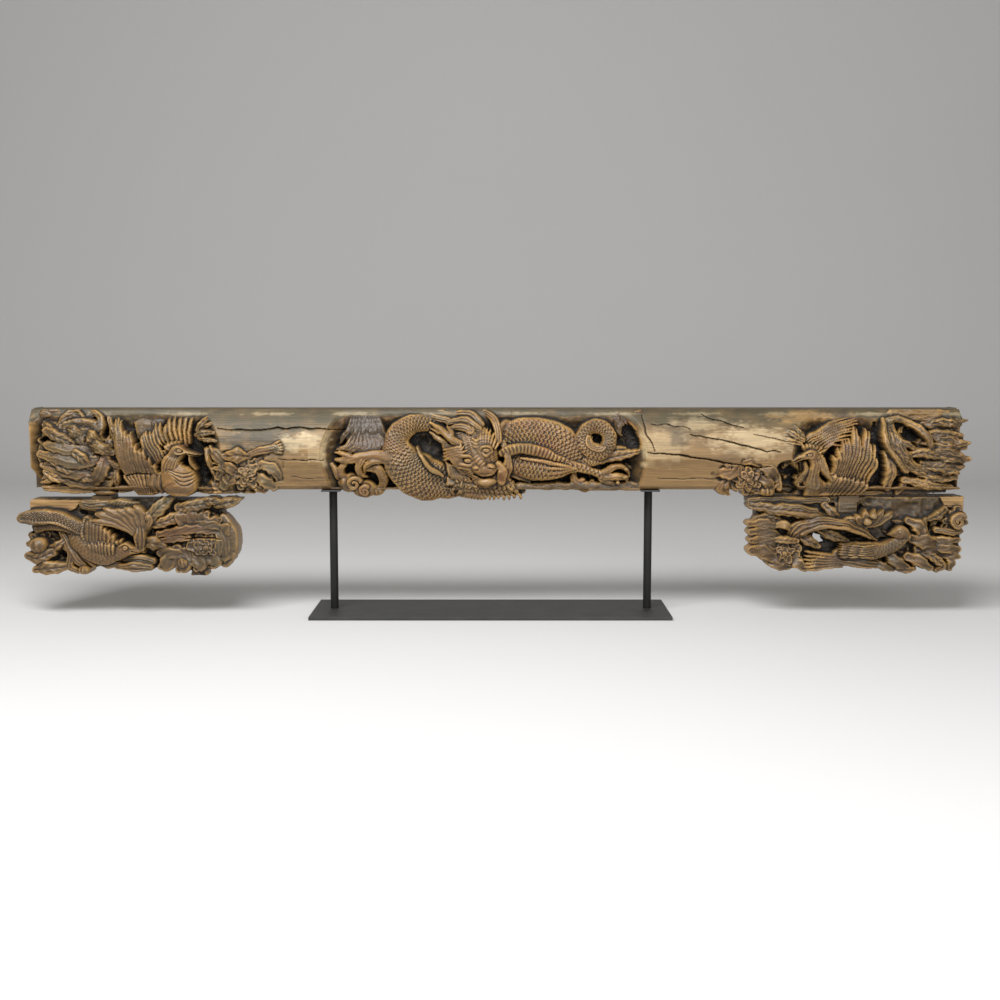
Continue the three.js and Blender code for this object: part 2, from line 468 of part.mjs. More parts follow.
// The left spandrel block: a long-tailed bird, a rose, an acanthus leaf and a large peony.
function leftSpandrel() {
  const outline = [[-1089, 263], [-620, 263], [-628, 245], [-645, 235], [-634, 214], [-626, 188],
    [-624, 147], [-638, 126], [-672, 110], [-712, 100], [-804, 102], [-885, 110], [-946, 102],
    [-1002, 102], [-1069, 94], [-1085, 126], [-1088, 198]];
  const carved = carver(() => SPANDREL.face, SPANDREL.floor);
  const { limb, boss, fan, rosette } = carved;
  // Bird
  limb([[-1114, 222, 16, 13], [-1078.5, 223, 12, 17], [-1028, 222, 10, 16], [-982, 204.5, 10, 17],
    [-951.5, 184, 12, 17]], 0.6);
  limb([[-1064.5, 198.5, 20, 9], [-1028, 207.5, 16, 11], [-992, 200.5, 14, 13],
    [-961.5, 186, 16, 12]], 0.6);
  limb([[-995, 194, 20, 14], [-972, 171.5, 14, 22], [-944.5, 147, 12, 24], [-914, 132.5, 12, 19],
    [-883.5, 137, 12, 16], [-860, 147, 10, 16], [-842.5, 146, 12, 9], [-822, 139, 16, 2]], 0.8, 5, 8);
  fan({ roots: [[-954.5, 210.5], [-954.5, 183], [-941.5, 155]], tips: [[-918, 214.5], [-887.5, 184],
    [-895.5, 153]], count: 5, depth: [12, 6] });
  boss(-856, 150, 0, 7, 6, 7, 6, 4);
  // Rose, leaves and stems at the outer end
  rosette(-1068.5, 161.5, 12, 25, 1, 5);
  limb([[-1091, 134.5, 16, 9], [-1064.5, 126.5, 10, 15], [-1036, 139, 14, 12]], 0.5);
  limb([[-1072.5, 100, 16, 10], [-1038, 106, 10, 18], [-1001.5, 108, 14, 10]], 0.5);
  limb([[-1011.5, 184, 26, 8], [-995, 155, 20, 9], [-973, 120.5, 18, 9], [-954.5, 102, 22, 5]]);
  limb([[-1007.5, 157.5, 24, 7], [-989, 137, 18, 8], [-993, 108, 20, 8], [-977, 95.5, 22, 8]]);
  boss(-960.5, 99, 18, 13, 18, 10, 6, 4);
  // Acanthus leaf and its right-hand fellow
  fan({ roots: [[-830.5, 188], [-828.5, 192], [-822, 194]], tips: [[-938, 214.5], [-895.5, 270],
    [-822, 231]], count: 6, depth: [18, 8], bow: 8 });
  limb([[-826.5, 198.5, 14, 12], [-826.5, 175.5, 12, 13], [-826.5, 155, 16, 10]]);
  limb([[-820, 182, 18, 7], [-800, 223, 12, 13], [-773.5, 251.5, 10, 14], [-755, 262, 18, 8]], 0.5);
  limb([[-814, 202.5, 20, 6], [-781.5, 210.5, 12, 12], [-745, 223, 12, 13], [-712.5, 233, 18, 8]], 0.5);
  // Large peony with layered petals
  rosette(-666.5, 153, 4, 40, 1.15);
  limb([[-787.5, 184, 14, 8], [-738, 192, 8, 14], [-682, 196.5, 6, 13], [-629, 186, 14, 9]], 0.5);
  limb([[-783.5, 169.5, 16, 7], [-753, 173.5, 12, 10], [-717.5, 173.5, 10, 9]], 0.5);
  limb([[-816, 161.5, 20, 12], [-798, 161.5, 12, 20], [-777.5, 155, 16, 12]], 0.5);
  limb([[-736.5, 212.5, 18, 12], [-692, 221, 10, 19], [-651.5, 214.5, 10, 19],
    [-618.5, 198.5, 18, 12]], 0.5);
  limb([[-781.5, 137, 18, 10], [-753, 137, 10, 18], [-727.5, 130.5, 14, 12]], 0.5);
  fan({ roots: [[-732.5, 147], [-702, 131.5], [-636, 137]], tips: [[-768.5, 108], [-702, 85.5],
    [-616.5, 130.5]], count: 5, depth: [14, 10] });
  // Leaves along the top and the foot
  limb([[-734.5, 247.5, 18, 11], [-702, 251.5, 12, 14], [-671.5, 253.5, 16, 12]], 0.5);
  limb([[-684, 258, 18, 9], [-661.5, 262, 12, 12], [-639, 258, 18, 8]], 0.5);
  limb([[-645, 251.5, 18, 9], [-620.5, 258, 12, 14], [-596.5, 262, 18, 8]], 0.5);
  limb([[-879, 106, 16, 7], [-844.5, 106, 10, 10], [-808, 103, 16, 9]], 0.6);
  const board = slab(outline, SPANDREL.floor, SPANDREL.back);
  return spandrelGeometry(board, carved.solids, -920, []);
}

// The right spandrel block: a peony, long leaves, a bird looking back and a rose.
function rightSpandrel() {
  const outline = [[596, 270], [603, 246], [620, 235], [620, 221], [611, 204], [609, 158], [617, 140],
    [645, 121], [670, 104], [733, 102], [814, 108], [896, 104], [967, 108], [1018, 102], [1075, 106],
    [1091, 129], [1097, 157], [1101, 270]];
  const carved = carver(() => SPANDREL.face, SPANDREL.floor);
  const { limb, boss, fan, rosette } = carved;
  // Leaves along the top
  limb([[598.5, 251.5, 20, 8], [651.5, 243.5, 12, 14], [702, 237.5, 10, 14], [748, 229, 14, 11],
    [785.5, 223, 22, 4]], 0.5);
  limb([[656.5, 245.5, 14, 6], [702, 247.5, 8, 8], [748, 235, 12, 7]], 0.5);
  limb([[614.5, 221, 20, 8], [641, 223, 14, 9], [673.5, 214.5, 16, 7]], 0.5);
  // Stacked petals and the peony
  const stacked = 3;
  for (let i = 0; i < stacked; i += 1) {
    const z = 203 - 26 * i;
    limb([[596, z, 20, 10], [623, z + 2, 12, 14], [656, z - 4, 14, 9]], 0.5);
  }
  limb([[651.5, 169.5, 14, 6], [680, 171.5, 8, 9], [706, 167.5, 14, 6]], 0.5);
  limb([[656.5, 206.5, 14, 5], [675.5, 206.5, 6, 8], [692, 198.5, 14, 4]], 0.6);
  rosette(671.5, 132.5, 4, 36);
  limb([[602.5, 143, 18, 12], [627, 141, 8, 21], [651.5, 128.5, 12, 12]], 0.5);
  limb([[698, 126.5, 16, 9], [710.5, 114, 10, 15], [726.5, 100, 16, 9]], 0.5);
  // Long leaves
  limb([[696, 173.5, 20, 12], [718.5, 197.5, 14, 19], [773.5, 211.5, 8, 14], [834.5, 200.5, 8, 13],
    [895.5, 171.5, 16, 3]], 0.5);
  limb([[758, 194, 20, 7], [785.5, 180, 14, 14], [826.5, 169.5, 18, 5]], 0.5);
  limb([[717.5, 178, 20, 8], [738, 167.5, 14, 14], [758, 155, 18, 8]], 0.5);
  limb([[804, 203.5, 16, 6], [832.5, 217, 8, 8], [867, 192, 12, 4]], 0.5);
  limb([[775.5, 249.5, 22, 8], [791.5, 235, 18, 11], [806, 221, 22, 8]], 0.5);
  // Bird
  limb([[806, 134.5, 16, 12], [834.5, 143, 10, 21], [875, 145, 8, 22], [912, 149, 10, 17],
    [942.5, 163.5, 12, 15], [960.5, 182, 12, 13], [952.5, 191, 10, 12]], 0.8, 5, 6);
  boss(946.5, 186, 6, 19, 16, 14);
  limb([[934, 186, 4, 9], [920, 182, 6, 2]], 0.8);
  fan({ roots: [[814, 124.5], [814, 118.5], [814, 110]], tips: [[734.5, 137], [717.5, 118.5],
    [732.5, 102]], count: 4, depth: [14, 14] });
  limb([[809, 120.5, 14, 9], [855, 114, 10, 11], [905.5, 112, 14, 9]], 0.5);
  // Buds and petals round the bird
  limb([[863, 202.5, 14, 10], [889.5, 214.5, 6, 13], [924, 233, 12, 7]], 0.6);
  boss(868, 214.5, 6, 9, 10, 9, 6, 4);
  boss(881, 229, 6, 9, 10, 8, 6, 4);
  limb([[969, 214.5, 16, 9], [989, 204.5, 8, 17], [1005.5, 186, 12, 12]], 0.5);
  limb([[979, 173.5, 18, 12], [1005.5, 167.5, 10, 23], [1032, 161.5, 14, 12]], 0.5);
  limb([[1009.5, 217, 18, 6], [1003.5, 198.5, 12, 8], [1007.5, 178, 16, 6]], 0.6);
  rosette(1076.5, 214.5, 10, 29, 1.3, 5);
  limb([[1023.5, 219, 20, 8], [1038, 227, 14, 12], [1054, 239.5, 18, 8]], 0.5);
  limb([[1034, 192, 16, 8], [1064.5, 189, 10, 8], [1095, 190, 16, 5]], 0.6);
  limb([[1030, 169.5, 18, 8], [1063.5, 169.5, 12, 10], [1093, 171.5, 18, 6]], 0.5);
  limb([[1025.5, 153, 18, 7], [1060.5, 151, 10, 12], [1093, 147, 18, 8]], 0.5);
  // Leaves along the foot
  limb([[916, 139, 16, 8], [940.5, 120.5, 8, 17], [966.5, 106, 14, 8]], 0.5);
  limb([[893.5, 120.5, 16, 6], [912, 108, 10, 10], [934, 100, 16, 6]], 0.5);
  limb([[969, 130.5, 16, 11], [993, 120.5, 8, 17], [1019.5, 104, 14, 9]], 0.5);
  limb([[993, 141, 16, 6], [1021.5, 132.5, 12, 9], [1048, 110, 14, 10], [1038, 98, 18, 7]], 0.5);
  limb([[1062.5, 139, 18, 7], [1070.5, 120.5, 12, 11], [1070.5, 102, 16, 8]], 0.5);
  const board = slab(outline, SPANDREL.floor, SPANDREL.back);
  const pierced = [slab([[761, 147], [804, 147], [804, 163.5], [783.5, 173.5], [751, 184],
    [751, 161.5]], -120, 120)];
  return spandrelGeometry(board, carved.solids, 832, pierced);
}

// A spandrel board with its carving, a tenon on top at tenonX, and holes pierced through the board.
function spandrelGeometry(board, carving, tenonX, pierced) {
  const tenonRoot = 5;
  const tenonFoot = SPANDREL.top - tenonRoot;
  const tenonHigh = JOINT.under - FIT_GAP - tenonFoot;
  const tenon = block(tenonX, 0, tenonFoot + tenonHigh / 2, TENON.width, TENON.depth, tenonHigh);
  const ground = pierced.length ? board.subtract(joined(pierced)) : board;
  const above = block(tenonX, 0, JOINT.over + 50, 1200, 300, 100);
  return geometryOf(joined([ground, ...carving]).subtract(above).add(tenon));
}

const lintel = new THREE.Group();
const work = new THREE.Group();
work.position.z = PLATE.thick;
lintel.add(work);

function addPiece(group, name, geometry, material) {
  const mesh = new THREE.Mesh(geometry, material);
  mesh.name = name;
  group.add(mesh);
  return mesh;
}

addPiece(work, 'lintel_beam', beamGeometry(), WOOD);
addPiece(work, 'left_spandrel', leftSpandrel(), WOOD);
addPiece(work, 'right_spandrel', rightSpandrel(), WOOD);

// Stand: a base plate, two round posts and a small head plate on each, under the log
const sheet = new THREE.BoxGeometry(PLATE.width, PLATE.depth, PLATE.thick);
const plate = addPiece(lintel, 'base_plate', sheet, STEEL);
plate.position.set(STAND_X, 0, PLATE.thick / 2);
const headTop = LOG.under - FIT_GAP;
const postTop = headTop - HEAD_PLATE.thick - FIT_GAP;
for (const [side, sign] of [['left', -1], ['right', 1]]) {
  const x = STAND_X + (sign * POST.spacing) / 2;
  const postHeight = postTop - FIT_GAP;
  const bar = new THREE.CylinderGeometry(POST.diameter / 2, POST.diameter / 2, postHeight, POST.sides);
  const post = addPiece(work, `${side}_post`, bar.rotateX(Math.PI / 2), STEEL);
  post.position.set(x, POST.y, FIT_GAP + postHeight / 2);
  const cap = new THREE.BoxGeometry(HEAD_PLATE.width, HEAD_PLATE.depth, HEAD_PLATE.thick);
  const headPlate = addPiece(work, `${side}_head_plate`, cap, STEEL);
  headPlate.position.set(x, POST.y, headTop - HEAD_PLATE.thick / 2);
}

export default lintel;
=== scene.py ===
"""Carved door lintel on a display stand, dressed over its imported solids.

The carved faces are worked stroke by stroke, as a carver works: each stroke has a path over the face,
a depth behind it, a half width and a surface pattern. Carving sizes are in millimetres, with heights
measured from the top of the stand's base plate.
"""
import math

import bmesh
import bpy
import numpy as np
from bpy.props import FloatProperty, FloatVectorProperty, PointerProperty
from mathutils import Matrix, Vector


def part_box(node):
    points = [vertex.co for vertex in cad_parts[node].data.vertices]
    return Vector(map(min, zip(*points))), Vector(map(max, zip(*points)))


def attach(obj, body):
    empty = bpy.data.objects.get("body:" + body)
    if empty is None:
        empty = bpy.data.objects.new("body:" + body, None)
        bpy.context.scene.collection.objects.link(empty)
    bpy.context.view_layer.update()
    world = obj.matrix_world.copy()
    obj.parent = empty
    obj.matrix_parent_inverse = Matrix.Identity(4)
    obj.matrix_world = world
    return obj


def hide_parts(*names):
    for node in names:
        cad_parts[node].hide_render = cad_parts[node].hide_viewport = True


bl_info = {
    "name": "Carved Door Lintel",
    "version": (1, 0, 0),
    "blender": (4, 5, 0),
    "location": "View3D > Sidebar > Lintel",
    "description": "Dresses a carved wooden lintel, its spandrel blocks and its steel stand",
    "category": "Object",
}

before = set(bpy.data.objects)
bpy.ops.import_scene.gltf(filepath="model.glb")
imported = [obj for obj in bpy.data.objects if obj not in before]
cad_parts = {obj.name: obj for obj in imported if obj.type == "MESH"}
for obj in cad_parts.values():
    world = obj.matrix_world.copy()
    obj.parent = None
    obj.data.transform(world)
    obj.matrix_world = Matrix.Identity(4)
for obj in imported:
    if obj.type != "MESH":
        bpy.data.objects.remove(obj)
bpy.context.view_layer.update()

MM = 0.001
PLATE_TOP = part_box("base_plate")[1].z
# The pale tint is bleached wood and also painted highlight on proud bosses; the dark tint is stains and also
# painted shade in dug holes and deep pockets.
TINTS = ("raw", "pale", "grey", "dark", "red", "green", "warm")
NO_WOOD = 400.0


def in_mm(corner):
    """A corner of the frame as x, y and z in millimetres, with z above the base plate."""
    return corner.x / MM, corner.y / MM, (corner.z - PLATE_TOP) / MM


# Sizes of the log and of its spandrel blocks

LOG_LOW, LOG_HIGH = (in_mm(corner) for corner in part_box("lintel_beam"))
LOG_LEFT = LOG_LOW[0]
WORN_OVERHANG = 24
LOG_RIGHT = LOG_HIGH[0] - WORN_OVERHANG
LOG_UNDER = 288
LOG_TOP = 475
LOG_BACK = LOG_HIGH[1]
LOG_REAR = 10
LOG_SEAMS = (-684, 40, 760)
FRONT_LOW = (LOG_LEFT - 4, 262)
FRONT_HIGH = (LOG_RIGHT + 28, LOG_TOP)
ARRIS = 9
ARRIS_SET = 10
BACK_PITCH = 4.5
SCOOP_WIDE = 58
SCOOP_HIGH = 42
BELLY_Z = 360
BULGE = 72
CROWN_SET = 56
CROWN_POWER = 2.2
FOOT_SET = 22
POCKET_FLOOR = -6
POCKET_BEVEL = 0.85
POCKET_CLIMB = 415
POCKET_LIP = 9
POCKETS = ((-348, 302, 291, 462), (-1052, -686, 295, 464), (745, 1074, 295, 457))
SPANDREL_FACE = -58
SPANDREL_FLOOR = -12
SPANDREL_REAR = 2
SPANDREL_TOP = 263
SPANDREL_INNER = 560
JOINT_Z = 271
JOINT_GAP = 1.5
OVERLAP = 2


def log_face(z):
    """The Y of the log's rounded face: a bulging belly, rolled back above and planed back below."""
    above = np.clip((z - BELLY_Z) / (LOG_TOP - BELLY_Z), 0, 1.2)
    below = np.clip((BELLY_Z - z) / (BELLY_Z - LOG_UNDER), 0, 1.2)
    return -BULGE + CROWN_SET * above**CROWN_POWER + FOOT_SET * below


def spandrel_face(z):
    """The Y of a spandrel block's front, which is flat."""
    return np.full(np.shape(z), float(SPANDREL_FACE))


# Noise, blurring and curves


def lattice(i, j, seed):
    """A repeatable random number from 0 to 1 for each whole-number place."""
    wave = np.sin(i * 127.1 + j * 311.7 + seed * 74.7) * 43758.5453
    return wave - np.floor(wave)


def drift(x, z, size_x, size_z, seed):
    """Smooth random hills from -1 to 1, of about the given sizes."""
    u, v = x / size_x, z / size_z
    i, j = np.floor(u), np.floor(v)
    a, b = u - i, v - j
    a, b = a * a * (3 - 2 * a), b * b * (3 - 2 * b)
    low = lattice(i, j, seed) * (1 - a) + lattice(i + 1, j, seed) * a
    high = lattice(i, j + 1, seed) * (1 - a) + lattice(i + 1, j + 1, seed) * a
    return 2 * (low * (1 - b) + high * b) - 1


def blur(values, reach):
    """A soft average over about reach cells each way."""
    soft = values
    for axis in (0, 1, 0, 1):
        padding = [(0, 0), (0, 0)]
        padding[axis] = (reach + 1, reach)
        total = np.cumsum(np.pad(soft, padding, mode="reflect", reflect_type="odd"), axis=axis)
        span = 2 * reach + 1
        upper = np.take(total, range(span, total.shape[axis]), axis=axis)
        lower = np.take(total, range(total.shape[axis] - span), axis=axis)
        soft = (upper - lower) / span
    return soft


def smooth_path(rows, spacing):
    """Points along a smooth curve through the rows."""
    rows = np.asarray(rows, float)
    ends = np.vstack([2 * rows[0] - rows[1], rows, 2 * rows[-1] - rows[-2]])
    pieces = []
    for before, start, stop, after in zip(ends, ends[1:], ends[2:], ends[3:]):
        count = max(3, int(np.hypot(*(stop - start)[:2]) / spacing))
        t = np.linspace(0, 1, count, endpoint=False)[:, None]
        bend = 2 * before - 5 * start + 4 * stop - after
        twist = 3 * start - before - 3 * stop + after
        pieces.append(start + 0.5 * ((stop - before) * t + bend * t**2 + twist * t**3))
    return np.vstack([*pieces, rows[-1:]])


def quadratic(points, t):
    """A point on a quadratic curve through a start, a pull and an end."""
    start, pull, end = (np.asarray(point, float) for point in points)
    return start * (1 - t) ** 2 + 2 * pull * t * (1 - t) + end * t**2


def inside_outline(outline, x, z):
    """True where a point lies inside a closed outline."""
    inside = np.zeros(x.shape, bool)
    for (x0, z0), (x1, z1) in zip(outline, outline[1:] + outline[:1]):
        if z0 == z1:
            continue
        crosses = (z0 > z) != (z1 > z)
        inside ^= crosses & (x < x0 + (x1 - x0) * (z - z0) / (z1 - z0))
    return inside


# Surface patterns: each gives a lift from the way along a stroke, the way across it and its half width


def scales(pitch, lift):
    """Overlapping scales in staggered columns."""

    def pattern(along, across, half):
        column = across * half / pitch
        middle = column - np.floor(column) - 0.5
        ramp = along / pitch + 0.5 * (np.floor(column) % 2) + 1.3 * middle**2
        step = ramp - np.floor(ramp)
        return lift * (np.minimum(step, 5 * (1 - step)) - 0.5) * (1.25 - 2.6 * middle**2)

    return pattern


def vane(lift):
    """A flat feather, tilted so that one edge lies over the next, with a shaft and slanting barbs."""

    def pattern(along, across, half):
        barb = np.cos(2 * math.pi * (along - 0.9 * np.abs(across) * half) / 5)
        shaft = np.exp(-((across / 0.15) ** 2))
        return lift * (across + 0.5 * shaft + 0.15 * barb)

    return pattern


def worn(lift, seed):
    """Weathered, broken wood with its grain along the stroke."""

    def pattern(along, across, half):
        coarse = drift(along, across * half, 13, 5, seed)
        return lift * (coarse + 0.5 * drift(along, across * half, 5, 2.4, seed + 1))

    return pattern


def veins(spacing, lift):
    """A leaf: a sunk midrib with slanting side veins."""

    def pattern(along, across, half):
        slant = (along - 1.1 * np.abs(across) * half) / spacing
        return lift * (0.3 * np.cos(2 * math.pi * slant) - np.exp(-((across / 0.16) ** 2)) + 0.5 * across**2)

    return pattern


def strands(count, lift):
    """Locks or fibres that run along the stroke, unevenly cut."""

    def pattern(along, across, half):
        wander = 0.8 * np.sin(along / 17 + 2 * across)
        uneven = 0.65 + 0.35 * np.cos(along / 11 + 4 * across)
        return lift * uneven * np.cos(math.pi * count * across + wander)

    return pattern


def bands(spacing, lift):
    """Plates or rings across the stroke."""

    def pattern(along, across, half):
        return lift * np.abs(np.sin(math.pi * along / spacing))

    return pattern


def stipple(pitch, lift):
    """Rows of punched dots."""

    def pattern(along, across, half):
        row = across * half / pitch
        shift = 0.5 * (np.floor(row) % 2)
        dots = np.cos(2 * math.pi * (along / pitch + shift)) * np.cos(2 * math.pi * row)
        return lift * np.clip(dots, -0.2, 1)

    return pattern


def cup(lift):
    """A petal: hollow along its middle, with a raised and slightly ruffled rim."""

    def pattern(along, across, half):
        return lift * (1.5 * across**2 - 0.6 + 0.12 * np.cos(7 * across + 0.2 * along))

    return pattern


class Relief:
    """A carved face on an even grid: its Y at every place, where there is wood, and its colour masks."""

    def __init__(self, low, high, pitch, face, floor):
        self.low = low
        self.pitch = pitch
        self.face = face
        self.floor = floor
        across = int(round((high[0] - low[0]) / pitch))
        up = int(round((high[1] - low[1]) / pitch))
        self.x, self.z = np.meshgrid(
            low[0] + pitch * np.arange(across + 1), low[1] + pitch * np.arange(up + 1)
        )
        self.by_hand_x = self.x + self.unsteady(41)
        self.by_hand_z = self.z + self.unsteady(51)
        self.y = np.full(self.x.shape, NO_WOOD)
        self.plain = np.zeros(self.x.shape)
        self.tint = {name: np.zeros(self.x.shape) for name in TINTS}

    def unsteady(self, seed):
        """How far a hand-held chisel strays from its line."""
        return 2.2 * drift(self.x, self.z, 21, 19, seed) + 0.6 * drift(self.x, self.z, 7, 6, seed + 1)

    def ground(self, wood, y, plain):
        """Lays the uncarved ground: where there is wood, its Y, and where its surface is left plain."""
        self.y = np.where(wood, y, self.y)
        self.plain = np.where(wood & plain, 1.0, self.plain)

    def window(self, x, z, reach):
        """The part of the grid within reach of the given places."""
        left, low = self.low
        rows, columns = self.x.shape
        first = max(0, int((np.min(x) - reach - left) / self.pitch))
        last = min(columns, int((np.max(x) + reach - left) / self.pitch) + 2)
        bottom = max(0, int((np.min(z) - reach - low) / self.pitch))
        top = min(rows, int((np.max(z) + reach - low) / self.pitch) + 2)
        return slice(bottom, max(top, bottom)), slice(first, max(last, first))

    def follow(self, rows):
        """The window round a path, and each place's row, way along, and way across in half widths."""
        widest = max(row[3] for row in rows)
        path = smooth_path(rows, max(1.2, 0.08 * widest))
        window = self.window(path[:, 0], path[:, 1], widest + 2)
        x, z = self.by_hand_x[window], self.by_hand_z[window]
        gap = (x[..., None] - path[:, 0]) ** 2 + (z[..., None] - path[:, 1]) ** 2
        nearest = gap.argmin(-1)
        path[:, 3] = np.maximum(path[:, 3], 1.0)
        row = path[nearest]
        heading = np.gradient(path[:, :2], axis=0)
        heading /= np.maximum(np.hypot(*heading.T), 1e-6)[:, None]
        length = np.concatenate([[0], np.cumsum(np.hypot(*np.diff(path[:, :2], axis=0).T))])
        dx, dz = x - row[..., 0], z - row[..., 1]
        ahead = heading[nearest]
        side = dx * ahead[..., 1] - dz * ahead[..., 0]
        along = length[nearest] + dx * ahead[..., 0] + dz * ahead[..., 1]
        across = np.hypot(dx, dz) / row[..., 3]
        return window, row, along, np.where(side < 0, -across, across)

    def put(self, window, y, inside, tint):
        """Adds wood in front of what is there already."""
        front = inside & (y < self.y[window])
        self.y[window] = np.where(front, y, self.y[window])
        self.plain[window] = np.where(front, 0.0, self.plain[window])
        for name, layer in self.tint.items():
            layer[window] = np.where(front, tint.get(name, 0.0), layer[window])

    def limb(self, rows, flat=0.6, pattern=None, power=2.0, notch=0.0, **tint):
        """A rounded stroke. Each row is x, z, depth of its edges behind the face, and half width."""
        window, row, along, across = self.follow(rows)
        half = row[..., 3]
        if notch:
            across = across * (1 + 0.24 * np.abs(np.sin(math.pi * along / notch)))
        off = np.abs(across)
        lift = half * flat * np.sqrt(np.clip(1 - off**power, 0, 1))
        if pattern:
            lift = lift + pattern(along, across, half) * np.clip(4 * (1 - off), 0, 1)
        y = self.face(row[..., 1]) + row[..., 2] - lift
        self.put(window, y, off < 1, tint)

    def boss(self, x, z, depth, rx, ry, rz, pattern=None, **tint):
        """A rounded boss with half sizes rx, ry and rz."""
        window = self.window(x, z, max(rx, rz))
        u, v = (self.by_hand_x[window] - x) / rx, (self.by_hand_z[window] - z) / rz
        off = np.hypot(u, v)
        lift = ry * np.sqrt(np.clip(1 - off**2, 0, 1))
        if pattern:
            lift = lift + pattern(v * rz, u, rx) * np.clip(4 * (1 - off), 0, 1)
        self.put(window, self.face(np.array(z)) + depth - lift, off < 1, tint)

    def leaf(self, rows, flat=0.45, lift=2.2, **tint):
        """A leaf: a flat stroke with a lobed edge, a sunk midrib and veins."""
        widest = max(row[3] for row in rows)
        self.limb(rows, flat, veins(0.8 * widest + 4, lift), 2.6, 1.1 * widest + 6, **tint)

    def lock(self, rows, flat, count, lift, **tint):
        """A lock of hair or a stem: a stroke with strands along it."""
        self.limb(rows, flat, strands(count, lift), **tint)

    def petal(self, rows, flat, lift, notch, **tint):
        """A petal: a cupped stroke with a notched edge."""
        self.limb(rows, flat, cup(lift), notch=notch, **tint)

    def hollow(self, x, z, rx, rz, depth, shallowest=17):
        """A hole dug between the strokes, where the wood already lies deep, and painted dark as shade."""
        ragged = 0.3 * drift(self.x, self.z, 15, 12, 61) + 0.15 * drift(self.x, self.z, 5, 5, 62)
        off = np.hypot((self.x - x) / rx, (self.z - z) / rz) + ragged
        dug = self.floor + depth - 10 * off**2
        deep = self.y > self.face(self.z) + shallowest
        deeper = (off < 1) & (self.y < dug) & deep
        self.y = np.where(deeper, dug, self.y)
        self.plain = np.where(deeper, 0.0, self.plain)
        # Painted shade: the dug hole is coloured dark.
        self.tint["dark"] = np.where(deeper, 0.8, self.tint["dark"])

    def hollows(self, *holes):
        """Several holes, one after the other."""
        for hole in holes:
            self.hollow(*hole)

    def sink(self, x, z, rx, rz, depth):
        """Lowers the ground round a cluster, with a ragged edge, so that it stands proud."""
        ragged = 0.3 * drift(self.x, self.z, 18, 15, 63)
        off = np.hypot((self.x - x) / rx, (self.z - z) / rz) + ragged
        cut = depth * np.clip(3 * (1 - off), 0, 1)
        self.y = np.where(self.y < NO_WOOD, self.y + cut, NO_WOOD)
        self.plain = np.where(cut > 3, 0.0, self.plain)

    def groove(self, rows, depth):
        """A cut along a path, in wood that is there already."""
        window, _, _, across = self.follow(rows)
        cut = depth * np.clip(1 - across**2, 0, 1)
        self.y[window] = np.where(self.y[window] < NO_WOOD, self.y[window] + cut, NO_WOOD)

    def crack(self, points, half, depth, seed):
        """A shake in the wood: a narrow cut that wanders about its line."""
        path = smooth_path([(x, z, 0, half) for x, z in points], 6)
        path[:, 1] += 2.2 * drift(path[:, 0], path[:, 1], 24, 900, seed)
        fade = np.sin(np.linspace(0.15, math.pi - 0.1, len(path)))
        path[:, 3] = half * (0.45 + 0.6 * fade)
        self.groove(path.tolist(), depth)

    def fan(self, roots, tips, count, depth=(18, 8), bow=0.0, width=0.55, flat=0.75, pattern=None, **tint):
        """Feathers or lobes side by side, from a curve of roots to a curve of tips."""
        random = np.random.default_rng(count)
        steps = np.linspace(0, 1, count)
        middles = [0.5 * (quadratic(roots, t) + quadratic(tips, t)) for t in steps]
        spacing = np.mean([np.hypot(*(b - a)) for a, b in zip(middles, middles[1:])])
        for i, t in enumerate(steps):
            root, tip = quadratic(roots, t), quadratic(tips, t)
            tip = root + random.uniform(0.86, 1.06) * (tip - root)
            way = tip - root
            across = np.array([-way[1], way[0]]) / np.hypot(*way)
            middle = root + 0.55 * way + bow * across
            half = width * spacing
            near, far = depth
            self.limb(
                [
                    (*root, near, half * 0.75),
                    (*middle, 0.5 * (near + far) - 2, half),
                    (*(root + 0.85 * way + 0.5 * bow * across), far + 1.5 * (i % 2), half * 0.95),
                    (*tip, far + 3, half * 0.4),
                ],
                flat,
                pattern,
                3.0,
                **tint,
            )

    def curl(self, x, z, depth, radius, width, turns=1.4, start=0.0, pattern=None, **tint):
        """A stroke that rolls up to its middle."""
        rows = []
        stations = 10 + int(8 * turns)
        for t in np.linspace(0, 1, stations):
            angle = start + 2 * math.pi * turns * t
            reach = radius * (1 - 0.8 * t)
            half = width * (1 - 0.5 * t)
            rows.append((x + reach * math.cos(angle), z + reach * math.sin(angle), depth - 3 * t, half))
        self.limb(rows, 0.7, pattern, **tint)

    def peony(self, x, z, depth, radius, stretch=1.0, petals=6, seed=0, **tint):
        """An open flower: rings of cupped petals, the inner ones closer and more upright."""
        random = np.random.default_rng(seed)
        rings = (
            (1.05, 0.40, 14, petals + 3), (0.82, 0.34, 8, petals + 1), (0.58, 0.27, 3, petals),
            (0.34, 0.2, -2, petals - 1),
        )
        for reach, width, sink, count in rings:
            turn = random.uniform(0, 6)
            for i in range(count):
                angle = turn + 2 * math.pi * i / count + random.uniform(-0.15, 0.15)
                out = radius * reach * random.uniform(0.85, 1.1)
                cx, cz = math.cos(angle) * stretch, math.sin(angle)
                half = radius * width * random.uniform(0.85, 1.1)
                drop = depth + sink + random.uniform(-2, 3)
                self.limb(
                    [
                        (x + 0.25 * out * cx, z + 0.25 * out * cz, drop + 3, half * 0.6),
                        (x + 0.6 * out * cx, z + 0.6 * out * cz, drop, half),
                        (x + 0.85 * out * cx, z + 0.85 * out * cz, drop + 1, half * 0.8),
                    ],
                    0.35,
                    cup(0.3 * half + 1),
                    power=3.0,
                    notch=0.9 * half + 2,
                    **tint,
                )
        self.boss(
            x, z, depth - 3, radius * 0.16 * stretch, radius * 0.16, radius * 0.16, strands(3, 1.4), **tint,
        )

